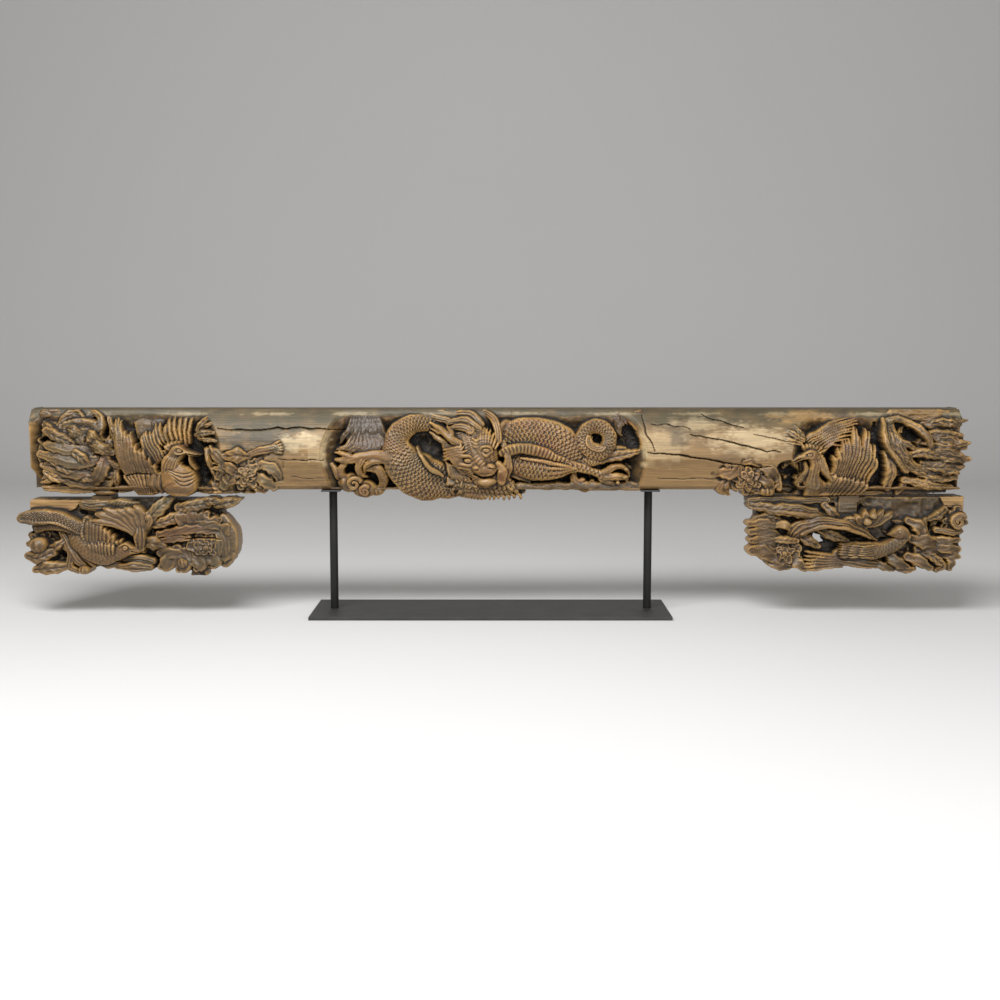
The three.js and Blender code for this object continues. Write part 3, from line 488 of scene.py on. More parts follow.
    def thicket(self, low, high, count, depth, size, seed, **tint):
        """Small leaves and scrolls, laid every way over a stretch of ground."""
        random = np.random.default_rng(seed)
        for _ in range(count):
            x, z = random.uniform(low[0], high[0]), random.uniform(low[1], high[1])
            angle = random.uniform(0, 2 * math.pi)
            length = size * random.uniform(0.7, 1.5)
            bend = random.uniform(-0.5, 0.5) * length
            cx, cz = math.cos(angle), math.sin(angle)
            drop = depth + random.uniform(-7, 7)
            half = 0.3 * size * random.uniform(0.7, 1.2)
            self.limb(
                [
                    (x - length * cx * 0.5, z - length * cz * 0.5, drop + 4, half * 0.5),
                    (x - bend * cz * 0.4, z + bend * cx * 0.4, drop, half),
                    (x + length * cx * 0.5, z + length * cz * 0.5, drop + 3, half * 0.35),
                ],
                0.6,
                veins(6, 1.6),
                notch=6 + 0.2 * size,
                **tint,
            )

    def strata(self, low, high, count, depth, half, seed, slope=0.0, **tint):
        """Worn layers: thin wavering ridges, one above the other."""
        random = np.random.default_rng(seed)
        for z in np.linspace(low[1], high[1], count):
            left = low[0] + random.uniform(0, 0.35) * (high[0] - low[0])
            right = high[0] - random.uniform(0, 0.25) * (high[0] - low[0])
            wide = half * random.uniform(0.7, 1.4)
            drop = depth + random.uniform(-6, 8)
            rows = []
            for t in np.linspace(0, 1, 5):
                x = left + t * (right - left)
                rise = slope * (x - low[0]) + random.uniform(-5, 5)
                rows.append(
                    (x, z + rise, drop + random.uniform(-4, 5), wide * (0.5 + 0.6 * math.sin(math.pi * t)))
                )
            self.limb(rows, 0.7, worn(2.4, seed), notch=17, **tint)

    def stain_and_light(self, name, x, z, rx, rz, amount, seed=1):
        """A patch of colour with a ragged edge."""
        ragged = 0.35 * drift(self.x, self.z, 22, 9, seed) + 0.25 * drift(self.x, self.z, 7, 3, seed + 5)
        off = np.hypot((self.x - x) / rx, (self.z - z) / rz) + ragged
        layer = np.clip(1.6 * (1 - off), 0, 1) * amount
        self.tint[name] = np.maximum(self.tint[name], layer)

    def weather_top(self):
        """Greys the topmost row evenly, so that the surface drawn back from it is one weathered top."""
        for name, layer in self.tint.items():
            layer[-1] = 0.9 if name == "grey" else 0.0
        self.plain[-1] = 1.0
        self.recess[-1] = 0.15
        self.wear_and_highlight[-1] = 0.0

    def finish(self):
        """Wears the arrises, adds the grain, and works out the grime and painted shade in the hollows, and
        the edge wear and painted highlights on proud edges.
        """
        wood = self.y < NO_WOOD
        y = np.where(wood, self.y, self.floor)
        surface = 0.75 * y + 0.25 * blur(y, 1)
        tooled = 0.3 * drift(self.x, self.z, 5, 4, 11) + 0.9 * drift(self.x, self.z, 15, 10, 12)
        fibres = 0.3 * drift(self.x, self.z, 70, 1.9, 13) + 0.5 * drift(self.x, self.z, 150, 11, 14)
        surface = surface + np.where(self.plain > 0.5, fibres, tooled)
        self.y = np.where(wood, surface, NO_WOOD)
        cells = [max(1, round(reach / self.pitch)) for reach in (1.3, 4, 12)]
        fine, near, wide = (surface - blur(surface, reach) for reach in cells)
        # Painted shade: the deeper the wood lies behind the face, the darker.
        sunk = np.clip((surface - self.face(self.z) - 30) / 45, 0, 1)
        # Grime and painted shade where the surface lies below its blurred surroundings.
        shade_and_grime = 0.5 * np.clip(fine / 0.8, 0, 1) + 0.55 * np.clip(near / 4, 0, 1)
        shade_and_grime = shade_and_grime + 0.5 * np.clip(wide / 13, 0, 1)
        self.recess = np.clip(shade_and_grime + 0.45 * sunk, 0, 1)
        # Edge wear and painted highlight where the surface stands above its blurred surroundings.
        proud = 0.7 * np.clip(-fine / 0.8, 0, 1) + 0.6 * np.clip(-near / 4, 0, 1)
        self.wear_and_highlight = np.clip(proud, 0, 1) * (1 - self.plain)


# The dragon in the middle of the log


def carve_dragon(cut):
    """The dragon: a scaled body that loops, a head turned to the front, two legs and a coiled tail."""
    cut.lock([(-300, 474, 6, 30), (-300, 446, 16, 40), (-300, 412, 28, 40)], 0.1, 7, 1.0, dark=0.7)
    shag = ((-322, 474), (-300, 478), (-280, 474)), ((-358, 400), (-304, 384), (-252, 404))
    cut.fan(*shag, 10, (8, 20), 4, 0.62, 0.18, worn(1.2, 7), dark=1.0)
    fringe = ((-326, 420), (-300, 426), (-272, 420)), ((-362, 382), (-314, 362), (-258, 380))
    cut.fan(*fringe, 9, (20, 12), 8, 0.6, 0.4, worn(1.6, 8), dark=0.55)
    cut.limb([(58, 296, 12, 9), (190, 295, 10, 10), (338, 296, 10, 10)], 0.5, worn(1.4, 9), dark=0.4)
    peak = [(285, 477, 2, 9), (290, 455, 12, 13), (300, 428, 28, 18)]
    cut.limb(peak, 0.4, worn(2.4, 7), dark=0.75)
    cut.limb([(336, 462, 10, 14), (346, 425, 16, 15), (342, 395, 26, 12)], 0.35, worn(2.2, 8), dark=0.6)
    cut.thicket((20, 425), (190, 462), 22, 36, 20, 4, dark=0.2, warm=0.2)
    cut.thicket((190, 305), (330, 350), 14, 42, 20, 5, dark=0.2)
    loop = [(-120, 428, 34, 13), (-158, 440, 24, 18), (-191, 440, 16, 23), (-219, 418, 14, 28)]
    cut.limb([*loop, (-228, 384, 16, 32)], 0.5, scales(7.5, 4.4), warm=0.7)
    coil = [(-226, 392, 18, 30), (-208, 350, 16, 47), (-170, 318, 18, 54), (-122, 304, 26, 42)]
    cut.limb([*coil, (-64, 292, 32, 22)], 0.42, scales(9.2, 5.0), 2.6, warm=0.75)
    fin = [(-178, 388, 4, 4), (-163, 362, -5, 5), (-146, 338, -3, 6), (-120, 320, 6, 4)]
    cut.limb(fin, 0.8, warm=0.8, pale=0.15)
    for x in (-160, -110, -60):
        roll = [(x, 292, 26, 9), (x + 32, 282, 18, 12), (x + 64, 282, 22, 10)]
        cut.limb(roll, 0.8, scales(7.5, 4.0), warm=0.3)
    cut.limb([(-20, 284, 20, 14), (26, 282, 22, 13), (68, 281, 30, 6)], 0.7, scales(7, 3.6), dark=0.15)
    back = [(6, 386, 38, 28), (48, 408, 26, 42), (100, 410, 20, 46), (151, 398, 22, 43), (186, 370, 28, 32)]
    cut.limb([*back, (206, 350, 34, 18)], 0.42, scales(9.5, 5.0), 2.6, warm=0.65)
    belly = [(18, 374, 14, 9), (50, 386, 3, 13), (95, 382, 2, 13), (140, 366, 8, 10), (178, 350, 18, 5)]
    cut.limb(belly, 0.5, bands(9, 4.0), warm=0.7)
    thigh = [(58, 350, 26, 30), (100, 344, 16, 34), (141, 338, 14, 25), (181, 342, 12, 14)]
    cut.limb([*thigh, (213, 337, 12, 10), (252, 321, 12, 11)], 0.6, scales(10, 4.6), warm=0.65)
    for lift in (-1, 0, 1):
        rib = [(62, 346 + 16 * lift, 8, 3), (104, 344 + 15 * lift, 0, 4), (150, 339 + 9 * lift, 0, 4)]
        cut.limb([*rib, (190, 340, 4, 3)], 0.9, bands(6, 1.0), warm=0.7)
        tuft = [(28, 338 + 12 * lift, 30, 6), (50, 330 + 10 * lift, 20, 8), (80, 318 + 8 * lift, 22, 5)]
        cut.lock(tuft, 0.7, 3, 1.6, dark=0.15)
    carve_tail(cut)
    carve_claws(cut)
    carve_dragon_head(cut)
    cut.hollows(
        (-164, 396, 27, 19, 8), (26, 416, 9, 22, 4), (320, 418, 24, 36, 4), (212, 398, 9, 12, 0),
        (-263, 325, 12, 26, 4), (-346, 330, 7, 14, 2), (170, 318, 22, 9, 2), (235, 409, 10, 10, 4, 8),
    )


def carve_tail(cut):
    """The tail rolls up in one full turn, with strands inside the ring and a leaf-shaped fin at its end."""
    ring = []
    for angle in np.linspace(-2.2, 4.3, 26):
        ring.append((238 + 31 * math.cos(angle), 405 + 31 * math.sin(angle), 18, 17))
    cut.limb(ring, 0.7, scales(7.5, 4.6), warm=0.45)
    for number in range(4):
        reach = 25 - 4.5 * number
        strand = []
        for angle in np.linspace(2.6, 5.6 - 0.2 * number, 8):
            strand.append((238 + reach * math.cos(angle), 404 + reach * math.sin(angle), 4 + 2 * number, 2.6))
        cut.limb(strand, 0.9, warm=0.6, pale=0.06)
    cut.leaf([(250, 360, 26, 12), (290, 369, 20, 14), (322, 376, 18, 10), (348, 378, 26, 2)], warm=0.4)
    cut.lock([(262, 378, 30, 6), (285, 386, 24, 7), (314, 386, 28, 2)], 0.6, 3, 1.5)
    cut.limb([(205, 350, 24, 12), (226, 358, 20, 13), (252, 358, 24, 10)], 0.6, scales(8, 3.4), warm=0.4)


def carve_claws(cut):
    """Claws of the hind leg at the right and of the fore leg at the left, with rocks and scrolls below."""
    claws = (
        [(252, 326, 14, 9), (284, 343, 8, 7), (306, 338, 8, 6), (315, 316, 12, 1.5)],
        [(258, 318, 10, 9), (287, 320, 2, 9), (306, 316, 6, 6), (314, 303, 12, 1.5)],
        [(250, 312, 12, 8), (277, 304, 8, 7), (294, 298, 14, 1.5)],
        [(181, 330, 26, 9), (190, 304, 16, 10), (214, 291, 14, 10), (228, 306, 20, 6)],
        [
            (-226, 352, 22, 22), (-262, 368, 10, 14), (-300, 369, 8, 11), (-334, 360, 8, 10),
            (-369, 358, 14, 4),
        ],
        [(-322, 363, 8, 7), (-345, 371, 10, 7), (-368, 374, 16, 2)],
        [(-304, 364, 8, 9), (-316, 343, 4, 9), (-308, 323, 8, 6), (-293, 316, 14, 1.5)],
        [(-248, 358, 12, 9), (-279, 357, 4, 9), (-298, 344, 6, 7), (-301, 325, 12, 2)],
        [(-292, 340, 16, 11), (-268, 337, 8, 12), (-257, 312, 10, 11), (-268, 286, 18, 6)],
        [(-347, 352, 14, 7), (-356, 335, 12, 8), (-350, 318, 14, 8), (-336, 303, 20, 5)],
        [(-378, 346, 20, 5), (-368, 333, 14, 8), (-362, 318, 16, 7), (-350, 310, 22, 3)],
    )
    for claw in claws:
        cut.lock(claw, 0.8, 2, 0.8, warm=0.75)
    for x, z in ((305, 318), (290, 306), (306, 338)):
        cut.boss(x, z, 0, 6, 8, 5, warm=0.5, pale=0.25)
    cut.curl(212, 296, 14, 16, 7, 1.2, 2.0, warm=0.5, red=0.3)
    cut.boss(-302, 290, 18, 31, 24, 21, strands(3, 2.0), warm=0.3)
    cut.boss(-336, 306, 22, 28, 24, 24, strands(3, 2.0), warm=0.3)
    cut.boss(-276, 286, 22, 20, 18, 14, strands(3, 1.6), warm=0.2)
    cut.curl(-324, 302, -2, 16, 6, 1.3, 0.5, warm=0.35)
    cut.curl(-299, 286, -6, 12, 5, 1.5, 1.0, warm=0.4, red=0.2)


def carve_dragon_head(cut):
    """The dragon's head, turned a little to the right: brows, eyes, broad snout, antlers, mane and beard."""
    gold = {"warm": 0.85}
    skull = [(-66, 452, 34, 24), (-64, 425, 24, 42), (-50, 388, 18, 54), (-32, 352, 10, 46)]
    cut.limb([*skull, (-18, 326, 10, 34)], 0.42, strands(8, 1.0), 2.6, warm=0.6)
    cut.limb([(-112, 392, 18, 9), (-96, 380, 6, 15), (-82, 360, 2, 18), (-66, 338, 6, 15)], 0.5, warm=0.55)
    carve_dragon_mane(cut)
    cut.lock([(22, 398, 14, 8), (32, 370, 6, 9), (32, 340, 2, 11), (24, 312, 8, 10)], 0.6, 3, 1.0, warm=0.6)
    cut.limb([(12, 348, -2, 9), (20, 331, -8, 13), (16, 312, -2, 11)], 0.6, None, 2.4, **gold)
    cut.boss(-23, 337, -4, 32, 15, 13, strands(3, 0.7), **gold)
    nose = [(-56, 390, 6, 7), (-46, 375, 0, 10), (-37, 361, -4, 11), (-28, 350, -8, 10)]
    cut.limb(nose, 0.5, bands(8, 2.2), **gold)
    # The chin carries a painted highlight (pale).
    cut.boss(-16, 309, 0, 23, 19, 12, warm=0.9, pale=0.2)
    lip = [(-47, 330, 0, 4), (-34, 326, -10, 5), (-18, 325, -13, 5), (-2, 331, -11, 5), (9, 342, -2, 3)]
    cut.limb(lip, 0.8, **gold)
    mouth = [(-48, 325, 0, 2.4), (-34, 320, 0, 3), (-18, 319, 0, 3.2), (-2, 325, 0, 3), (9, 337, 0, 2)]
    cut.groove(mouth, 11)
    for x, z in ((-43, 341), (-7, 345)):
        cut.boss(x, z, -9, 10, 11, 7.5, **gold)
        cut.groove([(x - 4, z - 4, 0, 1.8), (x + 4, z - 4, 0, 1.8)], 6)
    # The eyeballs carry painted highlights (pale).
    for x, z in ((-17, 381), (-60, 358)):
        cut.groove([(x - 4, z, 0, 10), (x + 4, z, 0, 10)], 6)
        cut.boss(x, z, -3, 10, 11, 6.5, warm=0.7, pale=0.15)
        cut.groove([(x, z, 0, 1.9), (x + 1, z, 0, 1.9)], 4)
    lids = (
        [(-31, 378, -4, 3), (-26, 390, -11, 4), (-10, 391, -11, 4), (-3, 379, -4, 3)],
        [(-30, 378, -4, 3), (-18, 369, -9, 4), (-4, 378, -4, 3)],
        [(-96, 362, 2, 3), (-78, 367, -6, 4), (-58, 370, -11, 4), (-46, 360, -6, 3)],
        [(-92, 352, 2, 3), (-76, 349, -6, 4), (-58, 346, -9, 4), (-46, 356, -6, 3)],
        [(-96, 346, 4, 3), (-78, 342, -4, 4), (-58, 338, -7, 4), (-44, 346, -4, 3)],
    )
    for lid in lids:
        cut.limb(lid, 0.9, **gold)
    for number in range(4):
        rise = 6 * number
        end = (-54 - 1.3 * rise, 376 + 1.2 * rise, -7, 1.2)
        brow = [(-116, 358 + 1.4 * rise, 10, 3), (-98, 368 + rise, 0, 4), (-78, 370 + rise, -6, 4), end]
        cut.limb(brow, 0.9, warm=0.65)
    comb = ((-34, 392), (-16, 400), (4, 386)), ((-36, 424), (-14, 442), (16, 408))
    cut.fan(*comb, 8, (-4, 2), 0, 0.46, 0.9, bands(6, 1.0), warm=0.55)
    for number in range(3):
        z = 390 + 8 * number
        wrinkle = [(-52 + 2 * number, z + 4, -2, 3), (-40, z, -6, 4), (-30, z + 4, -4, 3)]
        cut.limb(wrinkle, 0.9, **gold)
    whisker = ((-112, 356), (-96, 346), (-70, 330)), ((-100, 316), (-84, 298), (-50, 300))
    cut.fan(*whisker, 8, (8, 4), 0, 0.46, 0.9, None, warm=0.45)
    for row in range(3):
        drop = 12 * row
        roots = ((-106 + 14 * row, 316 - drop), (-50, 300 - drop), (34 + 8 * row, 306 - drop))
        tips = ((-112 + 14 * row, 298 - drop), (-50, 280 - drop), (46 + 8 * row, 286 - drop))
        cut.fan(roots, tips, 17, (8, 4 + 3 * row), 4, 0.5, 0.9, worn(1.6, row), warm=0.4)
    cut.thicket((-104, 280), (44, 312), 46, 4, 13, 12, warm=0.4)


def carve_dragon_mane(cut):
    """The antlers, the locks that sweep over the brow, and the ear beside the body."""
    locks = (
        [(-30, 440, 6, 8), (-46, 458, 2, 10), (-72, 464, 6, 10), (-104, 462, 14, 5)],
        [(-34, 430, 2, 8), (-54, 444, -2, 10), (-80, 450, 2, 9), (-108, 444, 12, 4)],
        [(-44, 420, 2, 7), (-62, 432, -2, 9), (-84, 436, 2, 8), (-108, 430, 12, 4)],
        [(-104, 462, 12, 8), (-130, 466, 12, 9), (-162, 464, 20, 3)],
        [(-108, 448, 12, 7), (-132, 454, 12, 8), (-166, 458, 20, 3)],
        [(-112, 398, 16, 7), (-130, 408, 14, 7), (-150, 420, 20, 3)],
    )
    for lock in locks:
        cut.lock(lock, 0.75, 3, 1.8, warm=0.45, green=0.06)
    antlers = (
        [(-80, 396, 2, 9), (-100, 410, -4, 9), (-122, 428, 0, 8), (-148, 444, 10, 3)],
        [(-98, 408, -4, 7), (-98, 424, -6, 6), (-108, 438, 2, 2)],
        [(-116, 424, 0, 6), (-132, 424, 6, 5), (-148, 430, 14, 2)],
    )
    for antler in antlers:
        cut.lock(antler, 0.85, 2, 0.8, warm=0.85)
    cut.curl(-52, 430, -2, 15, 6, 1.2, 0.3, strands(2, 1.0), warm=0.5, red=0.12)
    cut.lock([(-22, 466, 8, 8), (-2, 454, 2, 9), (8, 430, 2, 9), (12, 402, 6, 8)], 0.7, 3, 1.6, warm=0.5)
    cut.lock([(10, 396, 12, 6), (13, 422, 6, 7), (25, 441, 6, 8), (46, 440, 14, 6)], 0.8, 2, 1.2, warm=0.45)
    cut.lock([(-10, 458, 14, 5), (12, 466, 10, 6), (40, 462, 18, 3)], 0.8, 2, 1.0, warm=0.3)


# The phoenixes, the flowers beside them and the leaf clusters at the ends


def carve_eye(cut, x, z, socket, rx, rz, warm):
    """A phoenix's eye: a sunk socket, a ball and a drilled pupil."""
    cut.groove([(x - 3, z, 0, socket), (x + 3, z, 0, socket)], 4)
    # The ball carries a painted highlight (pale).
    cut.boss(x, z, -8, rx, 6, rz, warm=warm, pale=0.25)
    cut.groove([(x - 1, z, 0, 1.8), (x + 1, z, 0, 1.8)], 4)


def carve_left_phoenix(cut):
    """The left phoenix, its breast to the front and its head turned to the middle."""
    cut.limb([(-810, 478, 20, 38), (-810, 448, 24, 34), (-818, 412, 34, 16)], 0.2, None, warm=0.3, dark=0.15)
    cut.limb([(-786, 476, 16, 18), (-786, 446, 20, 16), (-792, 424, 28, 10)], 0.2, None, dark=0.8)
    cut.thicket((-892, 300), (-866, 420), 8, 40, 18, 21, dark=0.3)
    back_wing = ((-790, 348), (-757, 368), (-708, 396)), ((-818, 410), (-796, 454), (-702, 466))
    cut.fan(*back_wing, 13, (26, 10), 5, 0.5, 0.6, vane(2.4), dark=0.1, warm=0.1)
    front_wing = ((-858, 318), (-828, 306), (-784, 316)), ((-884, 470), (-848, 426), (-788, 350))
    cut.fan(*front_wing, 11, (14, 2), 3, 0.55, 0.3, vane(2.8), warm=0.45)
    coverts = ((-830, 274), (-814, 268), (-798, 274)), ((-864, 320), (-828, 334), (-782, 322))
    cut.fan(*coverts, 9, (10, 6), 0, 0.56, 0.3, vane(2.2), warm=0.5)
    cut.groove([(-866, 318, 0, 2.2), (-830, 327, 0, 2.4), (-784, 321, 0, 2.2)], 5)
    for number in range(3):
        x = -790 + 13 * number
        fold = [(x, 330 - 4 * number, 14, 5), (x - 5, 304, 4, 7), (x + 2, 280, 8, 5)]
        cut.lock(fold, 0.6, 2, 0.8, warm=0.6)
    breast = [(-752, 352, 12, 18), (-743, 334, 6, 33), (-734, 316, 4, 42), (-731, 310, 4, 42)]
    cut.limb(breast, 0.55, None, 2.2, warm=0.95)
    neck = [(-724, 382, 8, 12), (-738, 366, 4, 16), (-750, 346, 0, 20), (-754, 324, 4, 20)]
    cut.lock(neck, 0.5, 6, 1.2, warm=0.8)
    for number in range(4):
        drop = 9 * number
        start, stop = (-752 + 5 * number, 340 - drop, 0, 1.4), (-686, 345 - drop, 0, 1.6)
        cut.groove([start, (-722, 328 - drop, 0, 2.4), (-700, 332 - drop, 0, 2.2), stop], 3)
    cut.limb([(-742, 372, 2, 9), (-729, 382, -4, 11), (-715, 379, -4, 5)], 0.75, warm=0.85)
    carve_eye(cut, -724, 382, 7, 5, 3.8, 0.5)
    # The eyelids and the beak carry painted highlights (pale).
    cut.limb([(-738, 383, -6, 2.2), (-726, 390, -12, 2.6), (-711, 383, -8, 2.2)], 0.9, warm=0.85, pale=0.15)
    cut.limb([(-737, 378, -6, 2.2), (-724, 374, -12, 2.6), (-710, 378, -8, 2.2)], 0.9, warm=0.85, pale=0.15)
    crest = ((-746, 382), (-742, 390), (-730, 393)), ((-762, 390), (-748, 404), (-724, 402))
    cut.fan(*crest, 5, (6, 0), 0, 0.5, 0.7, None, warm=0.65)
    cut.limb([(-713, 380, -8, 3.2), (-699, 377, -8, 2.5), (-681, 371, -2, 0.8)], 0.9, warm=0.8, pale=0.35)
    cut.limb([(-711, 374, -4, 2.2), (-699, 371, -4, 1.8), (-686, 367, 0, 0.8)], 0.9, warm=0.75)
    cut.limb([(-704, 368, 2, 3.6), (-701, 352, 0, 4.6), (-693, 338, 6, 4)], 0.85, warm=0.7)
    cut.hollow(-713, 357, 8, 10, -4, 2)
    cut.limb([(-850, 290, 22, 8), (-875, 285, 24, 6), (-896, 282, 28, 3)], 0.5, worn(1.8, 23))
    cut.leaf([(-692, 416, 10, 6), (-672, 422, 0, 9), (-646, 420, 6, 4)], 0.5)
    cut.leaf([(-690, 426, 10, 5), (-678, 444, 0, 8), (-660, 460, 6, 4)], 0.5)
    cut.leaf([(-686, 408, 12, 5), (-664, 406, 2, 7), (-642, 402, 6, 3)], 0.5)
    cut.leaf([(-680, 432, 10, 4), (-662, 440, 0, 6), (-644, 448, 6, 3)], 0.5)
    stem = [(-668, 388, 10, 5), (-660, 355, 4, 6), (-650, 325, 6, 6), (-646, 298, 12, 7)]
    cut.limb(stem, 0.8, worn(1.4, 24))
    cut.limb([(-656, 390, 4, 4), (-638, 352, 2, 5), (-625, 328, 8, 3)], 0.8, worn(1.0, 25), warm=0.2)
    for toe in range(5):
        reach = 14 * math.cos(0.6 * toe - 1.2)
        cut.boss(-653 + reach, 291 + 11 * math.sin(1.3 * toe), 8, 8, 12, 6, warm=0.5)
    foot = [(-698, 290, 26, 9), (-664, 285, 16, 9), (-623, 286, 14, 9), (-563, 282, 18, 6)]
    cut.limb(foot, 0.6, worn(2.2, 26), dark=0.2)
    cut.hollows(
        (-678, 322, 14, 25, 2, 8), (-680, 394, 15, 8, 0, 6), (-884, 306, 9, 22, 2), (-768, 392, 10, 12, -6),
    )


def carve_right_phoenix(cut):
    """The right phoenix, its neck bent and its head low towards the middle."""
    cut.sink(682, 314, 36, 44, 48)
    cut.thicket((700, 385), (724, 425), 8, 14, 16, 31, dark=0.3)
    back_wing = ((706, 398), (722, 384), (760, 370)), ((856, 464), (848, 434), (812, 396))
    cut.fan(*back_wing, 9, (20, 8), 10, 0.5, 0.6, vane(2.2), warm=0.1)
    front_wing = ((784, 310), (806, 290), (862, 296)), ((786, 366), (846, 492), (890, 372))
    cut.fan(*front_wing, 13, (14, 2), -5, 0.55, 0.35, vane(2.8), warm=0.2)
    coverts = ((772, 282), (800, 272), (850, 276)), ((792, 324), (820, 316), (872, 304))
    cut.fan(*coverts, 9, (10, 0), 0, 0.55, 0.45, vane(2.0), warm=0.25)
    cut.limb([(825, 280, 18, 7), (867, 278, 18, 8), (915, 279, 26, 3)], 0.5, worn(1.8, 32))
    breast = [(742, 306, 12, 20), (750, 290, 10, 30), (756, 278, 18, 32)]
    cut.limb(breast, 0.55, strands(5, 0.5), 2.4, warm=0.95)
    neck = [(736, 372, 4, 11), (746, 348, 2, 12), (742, 322, 4, 14), (746, 300, 8, 22)]
    cut.lock(neck, 0.7, 4, 0.9, warm=0.8)
    # The neck strands carry painted highlights (pale).
    for number in range(4):
        x, z = 754 + 6 * number, 372 - 5 * number
        ruff = [(x - 6, z + 6, 6, 2.4), (x + 1, z - 20, -2, 3.4), (x + 11, z - 44, -2, 3.6)]
        cut.limb([*ruff, (x + 32, z - 44, 8, 2)], 0.9, warm=0.4, pale=0.12)
    cut.limb([(746, 364, 0, 8), (730, 372, -4, 11), (714, 367, -2, 7)], 0.75, warm=0.6)
    carve_eye(cut, 727, 371, 6.5, 4.6, 3.4, 0.4)
    # The eyelid and the beak carry painted highlights (pale).
    cut.limb([(740, 373, -4, 2), (728, 379, -11, 2.4), (714, 373, -8, 2)], 0.9, warm=0.6, pale=0.15)
    crest = ((720, 380), (734, 384), (750, 374)), ((712, 394), (742, 404), (768, 384))
    cut.fan(*crest, 7, (6, 0), 0, 0.46, 0.8, None, warm=0.35)
    cut.limb([(716, 369, -6, 4), (702, 366, -7, 3.2), (687, 356, 0, 1)], 0.9, warm=0.6, pale=0.3)
    cut.limb([(713, 362, -2, 2.8), (703, 359, -1, 2.2), (693, 352, 4, 0.8)], 0.9, warm=0.5)
    cut.thicket((676, 300), (716, 350), 12, 30, 16, 33, dark=0.35)
    cut.lock([(722, 352, 10, 5), (726, 334, 8, 6), (716, 312, 12, 7), (704, 304, 18, 4)], 0.8, 2, 1.0)
    cut.leaf([(714, 404, 4, 6), (694, 416, -3, 8), (672, 432, 3, 4)], 0.5)
    cut.leaf([(708, 396, 4, 5), (686, 402, -3, 8), (660, 412, 4, 4)], 0.5)
    cut.leaf([(716, 414, 4, 5), (704, 426, -3, 7), (692, 440, 3, 4)], 0.5, green=0.2)
    cut.limb([(666, 292, 10, 8), (661, 316, 10, 8), (655, 336, 16, 4)], 0.8, worn(1.6, 34), warm=0.3)
    cut.hollows(
        (698, 336, 20, 16, 2), (696, 302, 22, 14, 4), (889, 366, 10, 74, 4), (776, 392, 10, 14, -4),
        (838, 414, 8, 18, -8),
    )


def carve_flowers(cut):
    """Peonies and buds that lie over the plain lengths of the log."""
    cut.sink(-590, 332, 92, 56, 15)
    cut.thicket((-650, 296), (-515, 380), 34, 10, 28, 45, warm=0.4, pale=0.1)
    cut.leaf([(-631, 298, 10, 13), (-612, 318, 2, 17), (-601, 349, 8, 10)], 0.4)
    cut.leaf([(-644, 318, 12, 9), (-630, 340, 4, 12), (-630, 364, 10, 6)], 0.4)
    cut.lock([(-656, 382, 10, 8), (-640, 370, 4, 15), (-624, 354, 8, 9)], 0.35, 3, 1.2, grey=0.2)
    cut.peony(-574, 326, -8, 37, 1.05, 6, 41, warm=0.5, pale=0.14)
    cut.petal([(-630, 348, 8, 9), (-610, 342, -4, 16), (-594, 326, 4, 10)], 0.5, 4.0, 17, warm=0.3)
    cut.leaf([(-564, 366, 4, 7), (-592, 371, -8, 20), (-625, 370, 4, 8)], 0.4, 3.0, warm=0.35)
    ruffle = [(-552, 340, 6, 9), (-530, 347, -4, 14), (-507, 334, -4, 15), (-497, 308, 6, 9)]
    cut.petal(ruffle, 0.5, 4.4, 21, pale=0.16)
    cut.petal([(-556, 318, 6, 9), (-534, 312, -8, 17), (-511, 295, 4, 11)], 0.5, 4.0, 18, pale=0.16)
    cut.leaf([(-562, 306, 10, 9), (-548, 292, 4, 12), (-538, 284, 12, 6)], 0.5)
    cut.lock([(-572, 366, 6, 6), (-544, 380, 0, 9), (-508, 388, -1, 10)], 0.7, 3, 1.2, warm=0.2)
    bud = ((-514, 380), (-508, 387), (-514, 394)), ((-486, 374), (-478, 389), (-490, 406))
    cut.fan(*bud, 5, (0, -5), 0, 0.5, 0.9)
    cut.sink(590, 312, 76, 42, 15)
    cut.thicket((520, 286), (655, 346), 30, 10, 26, 46, warm=0.3)
    fold = [(512, 326, 8, 8), (526, 330, 0, 14), (548, 326, 0, 16), (568, 336, 6, 9)]
    cut.petal(fold, 0.45, 4.0, 17, warm=0.45)
    cut.leaf([(541, 314, 8, 12), (533, 292, 2, 17), (548, 277, 10, 6)], 0.5, warm=0.45)
    cut.peony(590, 312, -8, 34, 1.0, 5, 43, warm=0.35)
    cut.petal([(568, 346, 8, 6), (592, 356, 0, 10), (618, 346, 8, 6)], 0.5, 3.0, 13, warm=0.3)
    cut.petal([(620, 344, 8, 9), (640, 334, 0, 18), (652, 312, 8, 10)], 0.5, 4.0, 16, warm=0.3)
    cut.petal([(618, 318, 6, 9), (634, 308, -2, 15), (646, 288, 6, 11)], 0.5, 3.6, 14, warm=0.45)
    cut.boss(636, 284, 10, 22, 18, 14, strands(3, 2.0), warm=0.5)
    cut.leaf([(606, 302, 10, 8), (612, 288, 6, 11), (602, 277, 12, 5)], 0.5, warm=0.2)
    cut.hollow(668, 306, 9, 14, 2)


